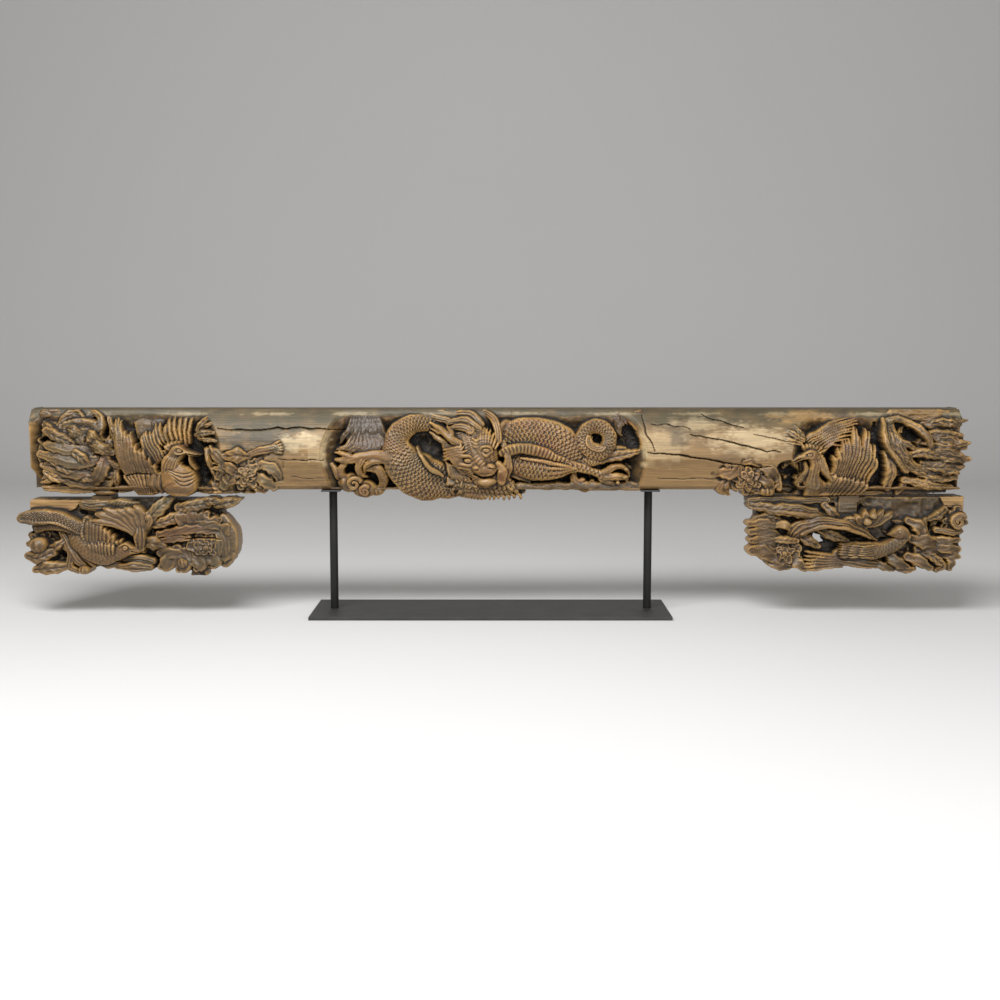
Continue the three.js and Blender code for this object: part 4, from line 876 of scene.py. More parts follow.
def carve_left_end(cut):
    """The worn cluster at the log's left end: a curled leaf and lobes over layered fronds."""
    bed = [(-1022, 372, 30, 42), (-985, 376, 24, 76), (-935, 372, 24, 76), (-905, 366, 30, 44)]
    cut.limb(bed, 0.06, worn(4.0, 50), 6.0, dark=0.1)
    cut.thicket((-1046, 300), (-890, 455), 70, 16, 34, 51, dark=0.3)
    fronds = (
        [(-1044, 318, 20, 7), (-1000, 313, 8, 13), (-955, 303, 8, 14), (-925, 304, 16, 8)],
        [(-1050, 347, 18, 7), (-1010, 336, 6, 14), (-962, 328, 2, 17), (-928, 332, 12, 9)],
        [(-1056, 374, 18, 8), (-1015, 365, 4, 15), (-970, 353, 0, 17), (-925, 355, 10, 11)],
        [
            (-1054, 403, 18, 7), (-1024, 390, 6, 13), (-985, 382, 2, 15), (-948, 380, 8, 11),
            (-924, 367, 16, 6),
        ],
        [(-1050, 440, 16, 7), (-1030, 424, 4, 14), (-1002, 409, 4, 15), (-972, 400, 12, 9)],
        [(-900, 362, 12, 11), (-912, 332, -2, 20), (-940, 298, 12, 12)],
    )
    for number, rows in enumerate(fronds):
        cut.limb(rows, 0.4, vane(3.2), 2.6, 31 - 3 * number, dark=0.14)
    lobes = (
        [(-1066, 460, 12, 9), (-1040, 466, 6, 12), (-1012, 464, 10, 8)],
        [(-1012, 436, 12, 8), (-998, 456, 4, 12), (-972, 462, 2, 13), (-955, 446, 8, 9)],
        [(-950, 468, 12, 8), (-924, 460, 4, 10), (-913, 440, 4, 10), (-926, 420, 6, 10), (-946, 420, 12, 7)],
        [(-900, 470, 12, 6), (-894, 444, 8, 7), (-882, 416, 10, 8), (-886, 396, 16, 6)],
        [(-996, 432, 12, 10), (-975, 424, -2, 17), (-956, 411, 10, 10)],
        [(-948, 424, 12, 9), (-930, 412, -4, 17), (-914, 398, 10, 10)],
        [(-940, 392, 12, 9), (-908, 388, -2, 17), (-884, 376, 12, 9)],
        [(-882, 340, 22, 8), (-884, 312, 14, 11), (-880, 286, 24, 6)],
    )
    for number, rows in enumerate(lobes):
        cut.limb(rows, 0.5, worn(2.4, 52 + number), 2.4, 17 + number, dark=0.14)
    strays = (
        [(-1040, 428, 4, 8), (-1008, 414, -4, 15), (-974, 396, 6, 8)],
        [(-1022, 356, 4, 7), (-990, 340, -4, 13), (-948, 338, 6, 8)],
        [(-984, 384, 4, 8), (-952, 366, -5, 13), (-934, 340, 6, 8)],
        [(-1044, 332, 10, 7), (-1014, 316, 0, 12), (-980, 318, 8, 7)],
        [(-972, 312, 8, 7), (-946, 318, -2, 12), (-918, 312, 8, 7)],
    )
    for rows in strays:
        cut.leaf(rows, 0.4, 2.6, dark=0.1)
    base = [(-1046, 291, 10, 9), (-1000, 291, 10, 12), (-952, 289, 16, 11), (-930, 288, 24, 7)]
    cut.limb(base, 0.3, strands(3, 0.6), 2.6, raw=0.6)
    cut.boss(-912, 280, 24, 29, 20, 8, dark=0.5)
    cut.hollows(
        (-942, 444, 16, 13, 4, 8), (-903, 430, 8, 26, 4, 10), (-1042, 404, 12, 7, 0, 10),
        (-898, 318, 7, 16, 2, 10), (-975, 442, 14, 6, 0, 8),
    )


def carve_right_end(cut):
    """The worn cluster at the right end, whose layers break off past the end of the log."""
    cut.thicket((940, 320), (1080, 445), 60, 26, 30, 61, dark=0.2)
    cut.strata((985, 335), (1104, 455), 9, 14, 9, 62, -0.08, dark=0.1)
    for number in range(4):
        z = 448 - 26 * number
        reach = 1096 + 16 * (number / 3) ** 2
        layer = [(1000 + 8 * number, z - 8, 20, 8), (1036, z - 4, 10, 13), (1070, z - 8, 12, 12)]
        layer.append((reach - 8, z - 10, 26, 8))
        cut.limb(layer, 0.55, worn(3.2, 63 + number), 2.6, notch=21, dark=0.05)
    brow = [(930, 462, 6, 13), (985, 462, 4, 14), (1040, 460, 8, 14), (1086, 456, 20, 10)]
    cut.limb(brow, 0.35, worn(1.6, 68), raw=0.5)
    mass = [(914, 440, 12, 16), (922, 404, 2, 22), (944, 368, 2, 22), (972, 342, 6, 16), (1020, 322, 12, 11)]
    cut.limb(mass, 0.4, worn(2.6, 69), 3.0, notch=44, warm=0.1)
    edge = [(906, 452, 4, 5), (902, 418, -4, 6), (912, 386, -8, 6), (934, 354, -8, 6), (956, 332, -2, 5)]
    cut.limb(edge, 0.8, worn(1.6, 70), warm=0.2)
    hood = [(918, 448, 4, 8), (944, 452, -2, 9), (978, 436, -2, 9), (1004, 410, 0, 10), (1014, 386, 8, 8)]
    cut.limb(hood, 0.6, worn(2.0, 71), notch=24)
    cut.leaf([(926, 406, 6, 6), (948, 398, -4, 9), (972, 386, 6, 5)], 0.5, pale=0.06)
    cut.leaf([(962, 372, 6, 9), (994, 376, 0, 13), (1032, 366, 8, 8)], 0.5)
    cut.leaf([(1000, 345, 12, 9), (1040, 342, 6, 14), (1084, 338, 20, 8)], 0.5)
    foot = [(953, 312, 10, 8), (1006, 300, 4, 13), (1066, 294, 18, 9)]
    cut.limb(foot, 0.5, worn(2.8, 72), notch=31, raw=0.45)
    cut.limb([(990, 322, 10, 6), (1030, 314, 6, 9), (1080, 316, 18, 6)], 0.6, worn(2.2, 73), notch=18)
    cut.leaf([(912, 372, 20, 9), (921, 334, 8, 17), (919, 292, 14, 11)], 0.45, raw=0.3, warm=0.3)
    cut.limb([(961, 318, 26, 8), (955, 298, 16, 9), (945, 280, 20, 7)], 0.7, worn(1.6, 74), warm=0.2)
    cut.hollows(
        (972, 412, 24, 14, 2, 6), (932, 318, 7, 16, 2, 12), (1046, 392, 18, 5, -4, 12),
        (990, 326, 22, 4, -8, 12),
    )


def carve_cracks(cut):
    """Shakes along the plain lengths of the log."""
    lines = (
        ([(-640, 432), (-560, 428), (-460, 433), (-350, 428)], 1.6, 12),
        ([(-500, 362), (-440, 359), (-395, 361)], 1.3, 7),
        ([(357, 377), (450, 367), (573, 346), (640, 342)], 1.9, 14),
        ([(453, 419), (560, 398), (664, 375)], 1.7, 12),
        ([(484, 461), (530, 446), (578, 433)], 1.5, 9),
        ([(345, 463), (352, 425), (372, 381)], 1.6, 10),
        ([(365, 440), (420, 437), (455, 430)], 1.2, 7),
        ([(600, 420), (660, 405), (700, 398)], 1.2, 7),
        ([(380, 318), (460, 314), (520, 316)], 1.0, 4),
        ([(-470, 320), (-430, 317), (-392, 319)], 1.0, 4),
    )
    for seed, (points, half, depth) in enumerate(lines):
        cut.crack(points, half, depth, seed)


def colour_log(cut):
    """Where the log is bleached and carries painted highlights, greyed, stained and bare, and where old paint
    is left.
    """
    low_band = np.clip((BELLY_Z - cut.z) / 30, 0, 1) * cut.plain
    high_band = np.clip((cut.z - 415) / 35, 0, 1) * cut.plain
    cut.tint["grey"] = np.maximum(cut.tint["grey"], high_band)
    cut.tint["warm"] = np.maximum(cut.tint["warm"], 0.55 * low_band)
    for x, z, rx, rz in ((190, 294, 165, 15), (-375, 294, 60, 12), (-790, 288, 150, 11), (780, 288, 140, 11)):
        cut.stain_and_light("dark", x, z, rx, rz, 0.6, 70)
    cut.stain_and_light("dark", -430, 325, 70, 26, 0.3, 69)
    # The pale patches are bleached wood and also painted highlights on the plain lengths.
    patches = (
        ("pale", -440, 400, 62, 24, 1.0),
        ("pale", 600, 405, 120, 40, 0.8),
        ("pale", 470, 440, 90, 18, 0.5),
        ("pale", 400, 400, 60, 40, 0.45),
        ("grey", -540, 425, 150, 55, 1.0),
        ("grey", 455, 425, 60, 26, 0.6),
        ("dark", 425, 420, 30, 40, 0.65),
        ("dark", -470, 385, 26, 16, 0.35),
        ("dark", -590, 405, 60, 18, 0.4),
        ("dark", 560, 372, 40, 14, 0.35),
    )
    for seed, patch in enumerate(patches, 71):
        cut.stain_and_light(*patch, seed)
    for x in (-1075, -1030):
        cut.stain_and_light("raw", x, 310, 22, 60, 0.8, 81)
    cut.stain_and_light("raw", -1078, 400, 14, 60, 0.7, 82)
    cut.stain_and_light("raw", 740, 458, 100, 20, 0.6, 83)
    cut.stain_and_light("dark", 806, 462, 20, 8, 0.6, 84)
    for number in range(11):
        x = -1020 + 200 * number
        cut.stain_and_light("dark", x, 470, 70, 6, 0.5, 85 + number)
        cut.stain_and_light("pale", x + 95, 464, 60, 5, 0.4, 97 + number)
    paint = drift(cut.x, cut.z, 60, 40, 91) + 0.5 * drift(cut.x, cut.z, 9, 7, 92)
    cut.tint["red"] = np.maximum(cut.tint["red"], 0.45 * np.clip(paint - 0.55, 0, 1) * (1 - cut.plain))
    moss = drift(cut.x, cut.z, 70, 50, 93) + 0.5 * drift(cut.x, cut.z, 10, 8, 94)
    cut.tint["green"] = np.maximum(cut.tint["green"], 0.5 * np.clip(moss - 0.6, 0, 1) * (1 - cut.plain))


def pocketed_face(x, z):
    """The Y of the log's face with its pockets cut to their floors, and where the face is left plain."""
    y = log_face(z) + np.clip((LOG_UNDER + ARRIS - z) / ARRIS, 0, 1) * ARRIS_SET
    plain = np.ones(x.shape, bool)
    uneven = 5 * drift(x, z, 34, 26, 17) + 3 * drift(x, z, 11, 9, 18)
    for left, right, under, top in POCKETS:
        rim = top + POCKET_LIP
        slope = np.maximum(np.maximum(left - x, x - right), 0) / POCKET_BEVEL
        open_y = POCKET_FLOOR - slope + uneven * np.clip(1 - slope / 60, 0.3, 1)
        climb = np.clip((z - POCKET_CLIMB) / (rim - POCKET_CLIMB), 0, 1)
        open_y = open_y + (y - open_y) * climb**1.5
        within = (z > under + 3 * drift(x, z, 28, 900, 19)) & (z < rim) & (open_y > y)
        plain &= ~(within & (open_y > y + 8))
        y = np.where(within, open_y, y)
    return y, plain


def between_ends(x, z):
    """True between the log's ragged ends, of which the left is cut back towards its foot."""
    ragged = 0.8 * drift(x, z, 900, 30, 20) + 0.6 * drift(x, z, 900, 5, 21)
    left_edge = LOG_LEFT + np.clip((340 - z) * 0.55, 0, 60) + 2 + ragged
    return (z >= LOG_UNDER) & (x > left_edge) & (x < LOG_RIGHT - 2 + ragged)


def colour_pockets(cut, sunk):
    """A pale strip along the middle pocket's walls, and painted shade in every pocket, darker the deeper its
    floor.
    """
    x, z = cut.x, cut.z
    pale_wall_strip = np.clip(1.4 - np.abs(sunk - 8) / 8, 0, 1) * (np.abs(x) < 430)
    low_end = np.clip((z - 345 + 14 * drift(x, z, 14, 12, 22)) / 14, 0, 1)
    cut.tint["pale"] = 0.85 * pale_wall_strip * low_end * np.clip((430 - z) / 16, 0, 1)
    # Painted shade: darker the deeper the pocket floor lies.
    cut.tint["dark"] = 0.45 * np.clip((sunk - 15) / 8, 0, 1)


def carved_log(pitch):
    """The whole front of the log, carved."""
    cut = Relief(FRONT_LOW, FRONT_HIGH, pitch, log_face, POCKET_FLOOR)
    y, plain = pocketed_face(cut.x, cut.z)
    cut.ground(between_ends(cut.x, cut.z), y, plain)
    colour_pockets(cut, y - log_face(cut.z))
    ledge = [(628, 281, 34, 9), (760, 281, 34, 9), (900, 281, 36, 9), (1000, 282, 38, 9), (1060, 284, 40, 7)]
    cut.lock(ledge, 0.5, 3, 1.0, dark=0.55)
    carve_left_end(cut)
    carve_right_end(cut)
    carve_left_phoenix(cut)
    carve_right_phoenix(cut)
    carve_flowers(cut)
    carve_dragon(cut)
    carve_cracks(cut)
    colour_log(cut)
    over_spandrel = (np.abs(cut.x) > SPANDREL_INNER) & (cut.z < JOINT_Z + JOINT_GAP)
    cut.y[over_spandrel] = NO_WOOD
    cut.finish()
    cut.weather_top()
    return cut


def hewn_back():
    """The log's flat back, dressed with an adze in rows of shallow scoops, with two long shakes."""
    cut = Relief((LOG_LEFT, LOG_UNDER), (LOG_RIGHT, LOG_TOP), BACK_PITCH, log_face, LOG_BACK)
    x, z = cut.x, cut.z
    row = np.floor((z + 6 * drift(x, z, 90, 40, 31)) / SCOOP_HIGH)
    scoop = np.abs(np.sin(math.pi * (x / SCOOP_WIDE + 0.37 * row) + drift(x, z, 60, 30, 32)))
    y = LOG_BACK - 2.6 + 2.2 * scoop + 1.2 * drift(x, z, 150, 50, 33) * (1 - scoop)
    cut.ground(np.ones(x.shape, bool), np.minimum(y, LOG_BACK), np.ones(x.shape, bool))
    cut.crack([(-980, 380), (-620, 392), (-240, 384)], 4, -7, 34)
    cut.crack([(60, 348), (420, 340), (900, 356)], 4, -7, 35)
    # Grime and painted shade in the adze scoops, darker where the surface lies below its blur.
    cut.recess = np.clip(0.2 + 0.14 * (blur(cut.y, 4) - cut.y), 0, 1)
    cut.wear_and_highlight = np.zeros(x.shape)
    cut.tint["grey"] = 0.4 + 0.4 * drift(x, z, 260, 60, 36)
    cut.tint["dark"] = np.clip(0.6 * drift(x, z, 190, 45, 37), 0, 1)
    cut.weather_top()
    return cut


# The spandrel blocks

LEFT_OUTLINE = [
    (-1089, 263), (-620, 263), (-628, 245), (-645, 235), (-634, 214), (-626, 188), (-624, 147), (-638, 126),
    (-672, 110), (-712, 100), (-804, 102), (-885, 110), (-946, 102), (-1002, 102), (-1069, 94), (-1085, 126),
    (-1088, 198),
]
RIGHT_OUTLINE = [
    (596, 270), (603, 246), (620, 235), (620, 221), (611, 204), (609, 158), (617, 140), (645, 121),
    (670, 104), (733, 102), (814, 108), (896, 104), (967, 108), (1018, 102), (1075, 106), (1091, 129),
    (1097, 157), (1101, 270),
]
PIERCED = [(761, 147), (804, 147), (804, 163), (783, 173), (751, 184), (751, 161)]
TENON_WIDTH = 46
TENON_DEPTH = 60
TENON_LOW = SPANDREL_TOP - 5
TENON_HIGH = JOINT_Z + 1
LEFT_TENON_X = -920
RIGHT_TENON_X = 832


def spandrel_ground(low, high, pitch, outline, pierced):
    """A spandrel block's board, before its carving."""
    cut = Relief(low, high, pitch, spandrel_face, SPANDREL_FLOOR)
    x, z = cut.x, cut.z
    wander = 1.8 * drift(x, z, 14, 14, 25)
    wood = inside_outline(outline, x + wander, z + wander)
    if pierced:
        wood &= ~inside_outline(pierced, x + wander, z - wander)
    y = SPANDREL_FLOOR - 12 + 5 * drift(x, z, 34, 24, 26) + 2.5 * drift(x, z, 10, 9, 27)
    cut.ground(wood, y, np.zeros(x.shape, bool))
    return cut


def carve_left_spandrel(pitch):
    """The left block: a long-tailed bird, a rose, an acanthus leaf and a large peony."""
    cut = spandrel_ground((-1120, 84), (-588, JOINT_Z), pitch, LEFT_OUTLINE, None)
    bare = inside_outline([(-1089, 263), (-965, 263), (-985, 240), (-1010, 232), (-1089, 232)], cut.x, cut.z)
    cut.ground(bare, -29 + 0.8 * drift(cut.x, cut.z, 60, 3, 28), np.ones(bare.shape, bool))
    cut.tint["raw"] = np.where(bare, 0.9, cut.tint["raw"])
    cut.thicket((-1080, 110), (-960, 225), 16, 32, 24, 101, dark=0.2)
    cut.thicket((-960, 225), (-650, 258), 18, 30, 26, 102, dark=0.15)
    cut.thicket((-900, 115), (-640, 225), 30, 30, 24, 103, dark=0.2)
    carve_left_spandrel_leaves(cut)
    carve_left_spandrel_peony(cut)
    carve_left_spandrel_bird(cut)
    cut.hollows(
        (-886, 190, 20, 16, 4), (-862, 174, 18, 7, 4), (-790, 196, 10, 9, 4), (-1008, 136, 12, 9, 4),
        (-966, 234, 10, 6, 4), (-950, 118, 9, 8, 0), (-1022, 190, 14, 10, 0), (-800, 132, 12, 6, 0),
        (-758, 205, 12, 5, 0),
    )
    finish_spandrel(cut)
    return cut


def carve_left_spandrel_bird(cut):
    """The bird with two long tail feathers, and the rose and stems round it."""
    stem = [(-1016, 188, 22, 8), (-995, 157, 14, 10), (-975, 122, 12, 10), (-955, 100, 20, 5)]
    cut.lock(stem, 0.8, 3, 1.4, warm=0.2)
    cut.lock([(-1012, 160, 20, 8), (-991, 140, 12, 9), (-995, 110, 14, 9), (-979, 96, 20, 8)], 0.8, 3, 1.4)
    cut.limb([(-985, 152, 20, 4), (-962, 128, 12, 5), (-938, 108, 16, 5)], 0.8, warm=0.3)
    lower_tail = [(-1068, 196, 18, 9), (-1030, 206, 10, 12), (-994, 200, 8, 14), (-961, 184, 12, 13)]
    cut.limb(lower_tail, 0.5, stipple(8, 2.4))
    upper_tail = [(-1102, 222, 8, 15), (-1080, 223, 5, 17), (-1030, 224, 2, 17), (-984, 208, 2, 18)]
    cut.limb([*upper_tail, (-951, 186, 8, 18)], 0.45, stipple(8, 2.6))
    shaft = [(-1104, 216, 2, 3), (-1060, 214, -4, 4), (-1015, 210, -6, 4), (-966, 186, 0, 3)]
    cut.limb(shaft, 0.9, bands(7, 1.2))
    body = [(-990, 190, 18, 14), (-970, 169, 8, 21), (-944, 146, 4, 23), (-914, 132, 4, 19)]
    head = [(-883, 137, 6, 16), (-862, 147, 4, 16), (-842, 147, 6, 10), (-820, 139, 16, 1.5)]
    cut.limb(body + head, 0.6, scales(9, 1.4), warm=0.4)
    # The eye carries a painted highlight (pale).
    cut.boss(-858, 152, -8, 6, 6, 5, warm=0.3, pale=0.3)
    cut.groove([(-859, 152, 0, 2), (-857, 152, 0, 2)], 4)
    cut.limb([(-874, 156, -2, 2.6), (-858, 161, -5, 3), (-844, 154, -2, 2.4)], 0.9, warm=0.4)
    cut.groove([(-846, 145, 0, 1.8), (-824, 138, 0, 1.2)], 4)
    nape = ((-888, 150), (-884, 158), (-872, 162)), ((-906, 158), (-894, 170), (-872, 174))
    cut.fan(*nape, 4, (6, 2), 0, 0.5, 0.9)
    wing = [(-954, 218, 12, 9), (-944, 196, 4, 22), (-926, 178, 2, 28), (-902, 166, 8, 22)]
    cut.limb([*wing, (-884, 160, 16, 10)], 0.3, None, 3.0)
    long_row = ((-948, 166), (-926, 168), (-892, 164)), ((-947, 220), (-922, 220), (-886, 188))
    cut.fan(*long_row, 8, (-4, -8), 0, 0.58, 0.3, vane(1.8))
    short_row = ((-942, 142), (-918, 136), (-888, 140)), ((-944, 166), (-920, 166), (-887, 164))
    cut.fan(*short_row, 8, (-6, -10), 0, 0.58, 0.3, vane(1.8))
    cut.limb([(-956, 218, 6, 4), (-960, 186, -2, 5), (-944, 154, 0, 4)], 0.9, bands(7, 1.6))
    cut.limb([(-950, 158, 2, 3), (-925, 160, -4, 3.5), (-895, 158, 4, 3)], 0.9)
    cut.peony(-1068, 162, 14, 29, 1.0, 5, 111)
    cut.boss(-1064, 158, 6, 21, 18, 20, strands(2, 1.0))
    cut.leaf([(-1094, 132, 14, 10), (-1066, 128, 4, 16), (-1034, 141, 10, 12)])
    cut.leaf([(-1076, 100, 12, 11), (-1040, 106, 4, 19), (-999, 108, 12, 10)])
    cut.leaf([(-1038, 150, 16, 9), (-1020, 158, 8, 12), (-1004, 174, 16, 6)])
    cut.boss(-960, 99, 16, 15, 18, 11, strands(2, 1.6), warm=0.2)


def carve_left_spandrel_leaves(cut):
    """The acanthus leaf, its fellow, and the leaves along the top and the foot."""
    cut.lock([(-960, 252, 24, 12), (-925, 250, 20, 14), (-890, 252, 24, 10)], 0.35, 4, 1.2, grey=0.3)
    cut.limb([(-900, 246, 20, 12), (-870, 252, 14, 14), (-838, 250, 20, 10)], 0.4, veins(9, 2.0), green=0.15)
    lobes = ((-838, 184), (-830, 190), (-816, 196)), ((-938, 216), (-896, 272), (-806, 240))
    cut.fan(*lobes, 7, (8, -6), -10, 0.6, 0.7, strands(2, 1.2), warm=0.35, pale=0.08)
    cut.lock([(-826, 206, 10, 12), (-826, 178, 4, 14), (-828, 152, 14, 11)], 0.7, 3, 2.0, warm=0.2)
    cut.leaf([(-822, 178, 16, 8), (-802, 223, 4, 16), (-775, 251, 2, 18), (-755, 266, 14, 8)], green=0.2)
    cut.leaf([(-816, 200, 18, 7), (-781, 210, 6, 14), (-745, 224, 6, 15), (-708, 236, 16, 8)])
    cut.leaf([(-738, 247, 14, 12), (-704, 252, 6, 16), (-668, 254, 14, 12)])
    cut.leaf([(-690, 258, 16, 9), (-661, 262, 6, 13), (-637, 258, 16, 8)])
    cut.leaf([(-650, 250, 16, 9), (-620, 258, 6, 15), (-596, 263, 16, 6)], dark=0.1)
    cut.leaf([(-738, 226, 14, 8), (-712, 236, 6, 13), (-684, 238, 14, 8)])
    cut.lock([(-884, 106, 14, 8), (-846, 107, 4, 12), (-806, 104, 14, 9)], 0.6, 3, 2.0, warm=0.2)
    cut.lock([(-930, 116, 20, 6), (-905, 110, 12, 9), (-880, 112, 16, 6)], 0.6, 3, 1.6)
    cut.lock([(-872, 126, 20, 7), (-836, 126, 14, 9), (-800, 120, 18, 8)], 0.6, 3, 1.6, dark=0.15)


def carve_left_spandrel_peony(cut):
    """The large peony at the inner end, with its layers of long petals."""
    red = {"red": 0.16}
    cut.peony(-700, 165, 16, 74, 1.0, 9, 124)
    skirt = ((-744, 148), (-702, 131), (-640, 137)), ((-780, 108), (-702, 84), (-612, 122))
    cut.fan(*skirt, 5, (10, 6), 6, 0.56, 0.4, cup(3.4))
    crown = ((-716, 198), (-678, 204), (-644, 184)), ((-730, 236), (-672, 252), (-606, 198))
    cut.fan(*crown, 5, (10, 4), 4, 0.62, 0.45, cup(3.8), warm=0.15)
    cut.petal([(-715, 203, 12, 8), (-685, 209, 0, 11), (-652, 205, 0, 12), (-626, 192, 12, 8)], 0.6, 3.6, 21)
    long_petal = [(-787, 184, 12, 8), (-738, 193, 2, 12), (-682, 197, -2, 11), (-629, 186, 10, 8)]
    cut.petal(long_petal, 0.6, 3.4, 24, **red)
    cut.petal([(-783, 169, 14, 7), (-750, 174, 4, 10), (-712, 176, 2, 9)], 0.6, 2.8, 18, **red)
    cut.leaf([(-818, 163, 16, 12), (-798, 163, 4, 19), (-777, 157, 12, 12)], warm=0.25)
    cut.petal([(-784, 138, 16, 10), (-755, 140, 4, 18), (-727, 132, 10, 12)], 0.5, 3.8, 23)
    edge = [(-634, 224, 14, 10), (-614, 194, 7, 14), (-612, 152, 6, 15), (-630, 114, 14, 11)]
    cut.limb(edge, 0.5, dark=0.15)
    for number in range(2):
        x = -626 - 16 * number
        rim = [(x - 16, 212, 12, 8), (x, 184, 4, 11), (x, 150, 2, 12), (x - 16, 122, 12, 9)]
        cut.petal(rim, 0.5, 3.2, 34 - 6 * number)
    cut.peony(-672, 152, -2, 42, 1.15, 7, 121)
    cut.boss(-727, 117, 4, 14, 14, 12, strands(2, 1.6))
    cut.crack([(-720, 174), (-680, 177), (-636, 173)], 2.0, 14, 122)


def carve_right_spandrel(pitch):
    """The right block: a peony, long leaves, a bird looking back and a rose."""
    cut = spandrel_ground((580, 84), (1114, JOINT_Z), pitch, RIGHT_OUTLINE, PIERCED)
    bare = inside_outline([(1044, 271), (1058, 246), (1101, 240), (1101, 271)], cut.x, cut.z)
    cut.ground(bare, -32 + 0.8 * drift(cut.x, cut.z, 60, 3, 29), np.ones(bare.shape, bool))
    cut.tint["raw"] = np.where(bare, 0.75, cut.tint["raw"])
    slip = inside_outline([(1070, 165), (1101, 165), (1101, 190), (1070, 190)], cut.x, cut.z)
    cut.tint["raw"] = np.where(slip, 0.5, cut.tint["raw"])
    cut.thicket((612, 120), (740, 235), 20, 30, 22, 132, dark=0.2)
    cut.thicket((900, 112), (1090, 212), 40, 30, 22, 133, dark=0.2)
    patch = inside_outline([(808, 214), (852, 214), (852, 264), (808, 264)], cut.x, cut.z)
    cut.ground(patch, -30 + 1.6 * drift(cut.x, cut.z, 40, 5, 30), np.zeros(patch.shape, bool))
    cut.tint["grey"] = np.where(patch, 0.6, cut.tint["grey"])
    cut.limb([(764, 149, 44, 10), (800, 152, 44, 12), (782, 172, 44, 10)], 0.2, None, dark=0.9)
    carve_right_spandrel_flowers(cut)
    carve_right_spandrel_bird(cut)
    carve_right_spandrel_foot(cut)
    cut.hollows(
        (943, 158, 14, 11, 4), (966, 196, 9, 9, 4), (862, 240, 7, 16, 4), (794, 250, 10, 7, 4),
        (1018, 200, 6, 12, 4), (742, 196, 13, 6, 2), (845, 178, 22, 6, 2), (916, 168, 12, 6, 2),
        (720, 220, 12, 5, 2), (1046, 204, 8, 7, 2),
    )
    finish_spandrel(cut)
    return cut


def carve_right_spandrel_flowers(cut):
    """The leaves along the top, the stacked petals, the peony and the long leaves."""
    cut.lock([(600, 262, 18, 9), (680, 262, 22, 9), (780, 262, 26, 8)], 0.4, 3, 1.2, grey=0.5, dark=0.2)
    spray = [(598, 251, 18, 9), (651, 243, 4, 15), (702, 237, 2, 15), (748, 229, 8, 12), (788, 222, 20, 4)]
    cut.leaf(spray, warm=0.15)
    cut.limb([(640, 240, 4, 4), (690, 236, -6, 5), (740, 230, -2, 5), (780, 222, 10, 3)], 0.9, warm=0.25)
    cut.lock([(652, 249, 10, 6), (700, 249, 0, 8), (752, 237, 8, 7)], 0.6, 3, 1.8)
    cut.leaf([(614, 221, 18, 9), (641, 223, 8, 11), (676, 214, 14, 7)])
    for number in range(4):
        z = 208 - 20 * number
        rows = [(598 + 2 * number, z, 18, 9), (624, z + 3, 4, 13), (652, z - 2, 6, 11), (668, z - 8, 14, 6)]
        cut.petal(rows, 0.55, 3.4, 19, dark=0.08)
    cut.leaf([(649, 170, 8, 7), (680, 173, -4, 11), (710, 168, 10, 7)], raw=0.45)
    cut.limb([(656, 206, 8, 6), (677, 207, -6, 10), (696, 197, 8, 5)], 0.6, cup(2.4), raw=0.65, pale=0.25)
    cut.petal([(602, 143, 14, 12), (626, 144, 2, 21), (652, 130, 8, 12)], 0.45, 4.4, 25)
    cut.petal([(612, 166, 14, 9), (636, 166, 4, 13), (660, 156, 10, 9)], 0.5, 3.4, 20)
    cut.peony(678, 138, 0, 40, 1.0, 6, 141, warm=0.15)
    cut.petal([(698, 128, 14, 9), (712, 115, 4, 16), (730, 100, 14, 9)], 0.5, 3.6, 19)
    cut.petal([(640, 122, 14, 8), (662, 112, 6, 13), (692, 104, 14, 8)], 0.5, 3.4, 17)
    cut.leaf([(715, 180, 18, 9), (738, 167, 8, 15), (760, 155, 16, 8)])
    cut.leaf([(760, 196, 18, 7), (787, 181, 8, 15), (830, 168, 16, 5)], green=0.12)
    blade = [(694, 172, 18, 12), (716, 197, 6, 19), (773, 212, -2, 14), (834, 200, -2, 12)]
    cut.lock([*blade, (899, 169, 14, 2)], 0.5, 4, 2.2, warm=0.2)
    cut.limb([(716, 186, -2, 4), (760, 202, -12, 5), (820, 198, -12, 5), (880, 176, 0, 3)], 0.9, warm=0.3)
    cut.leaf([(800, 202, 14, 6), (834, 219, 2, 9), (874, 190, 10, 4)])
    cut.leaf([(773, 251, 20, 9), (791, 235, 10, 13), (808, 219, 18, 9)])


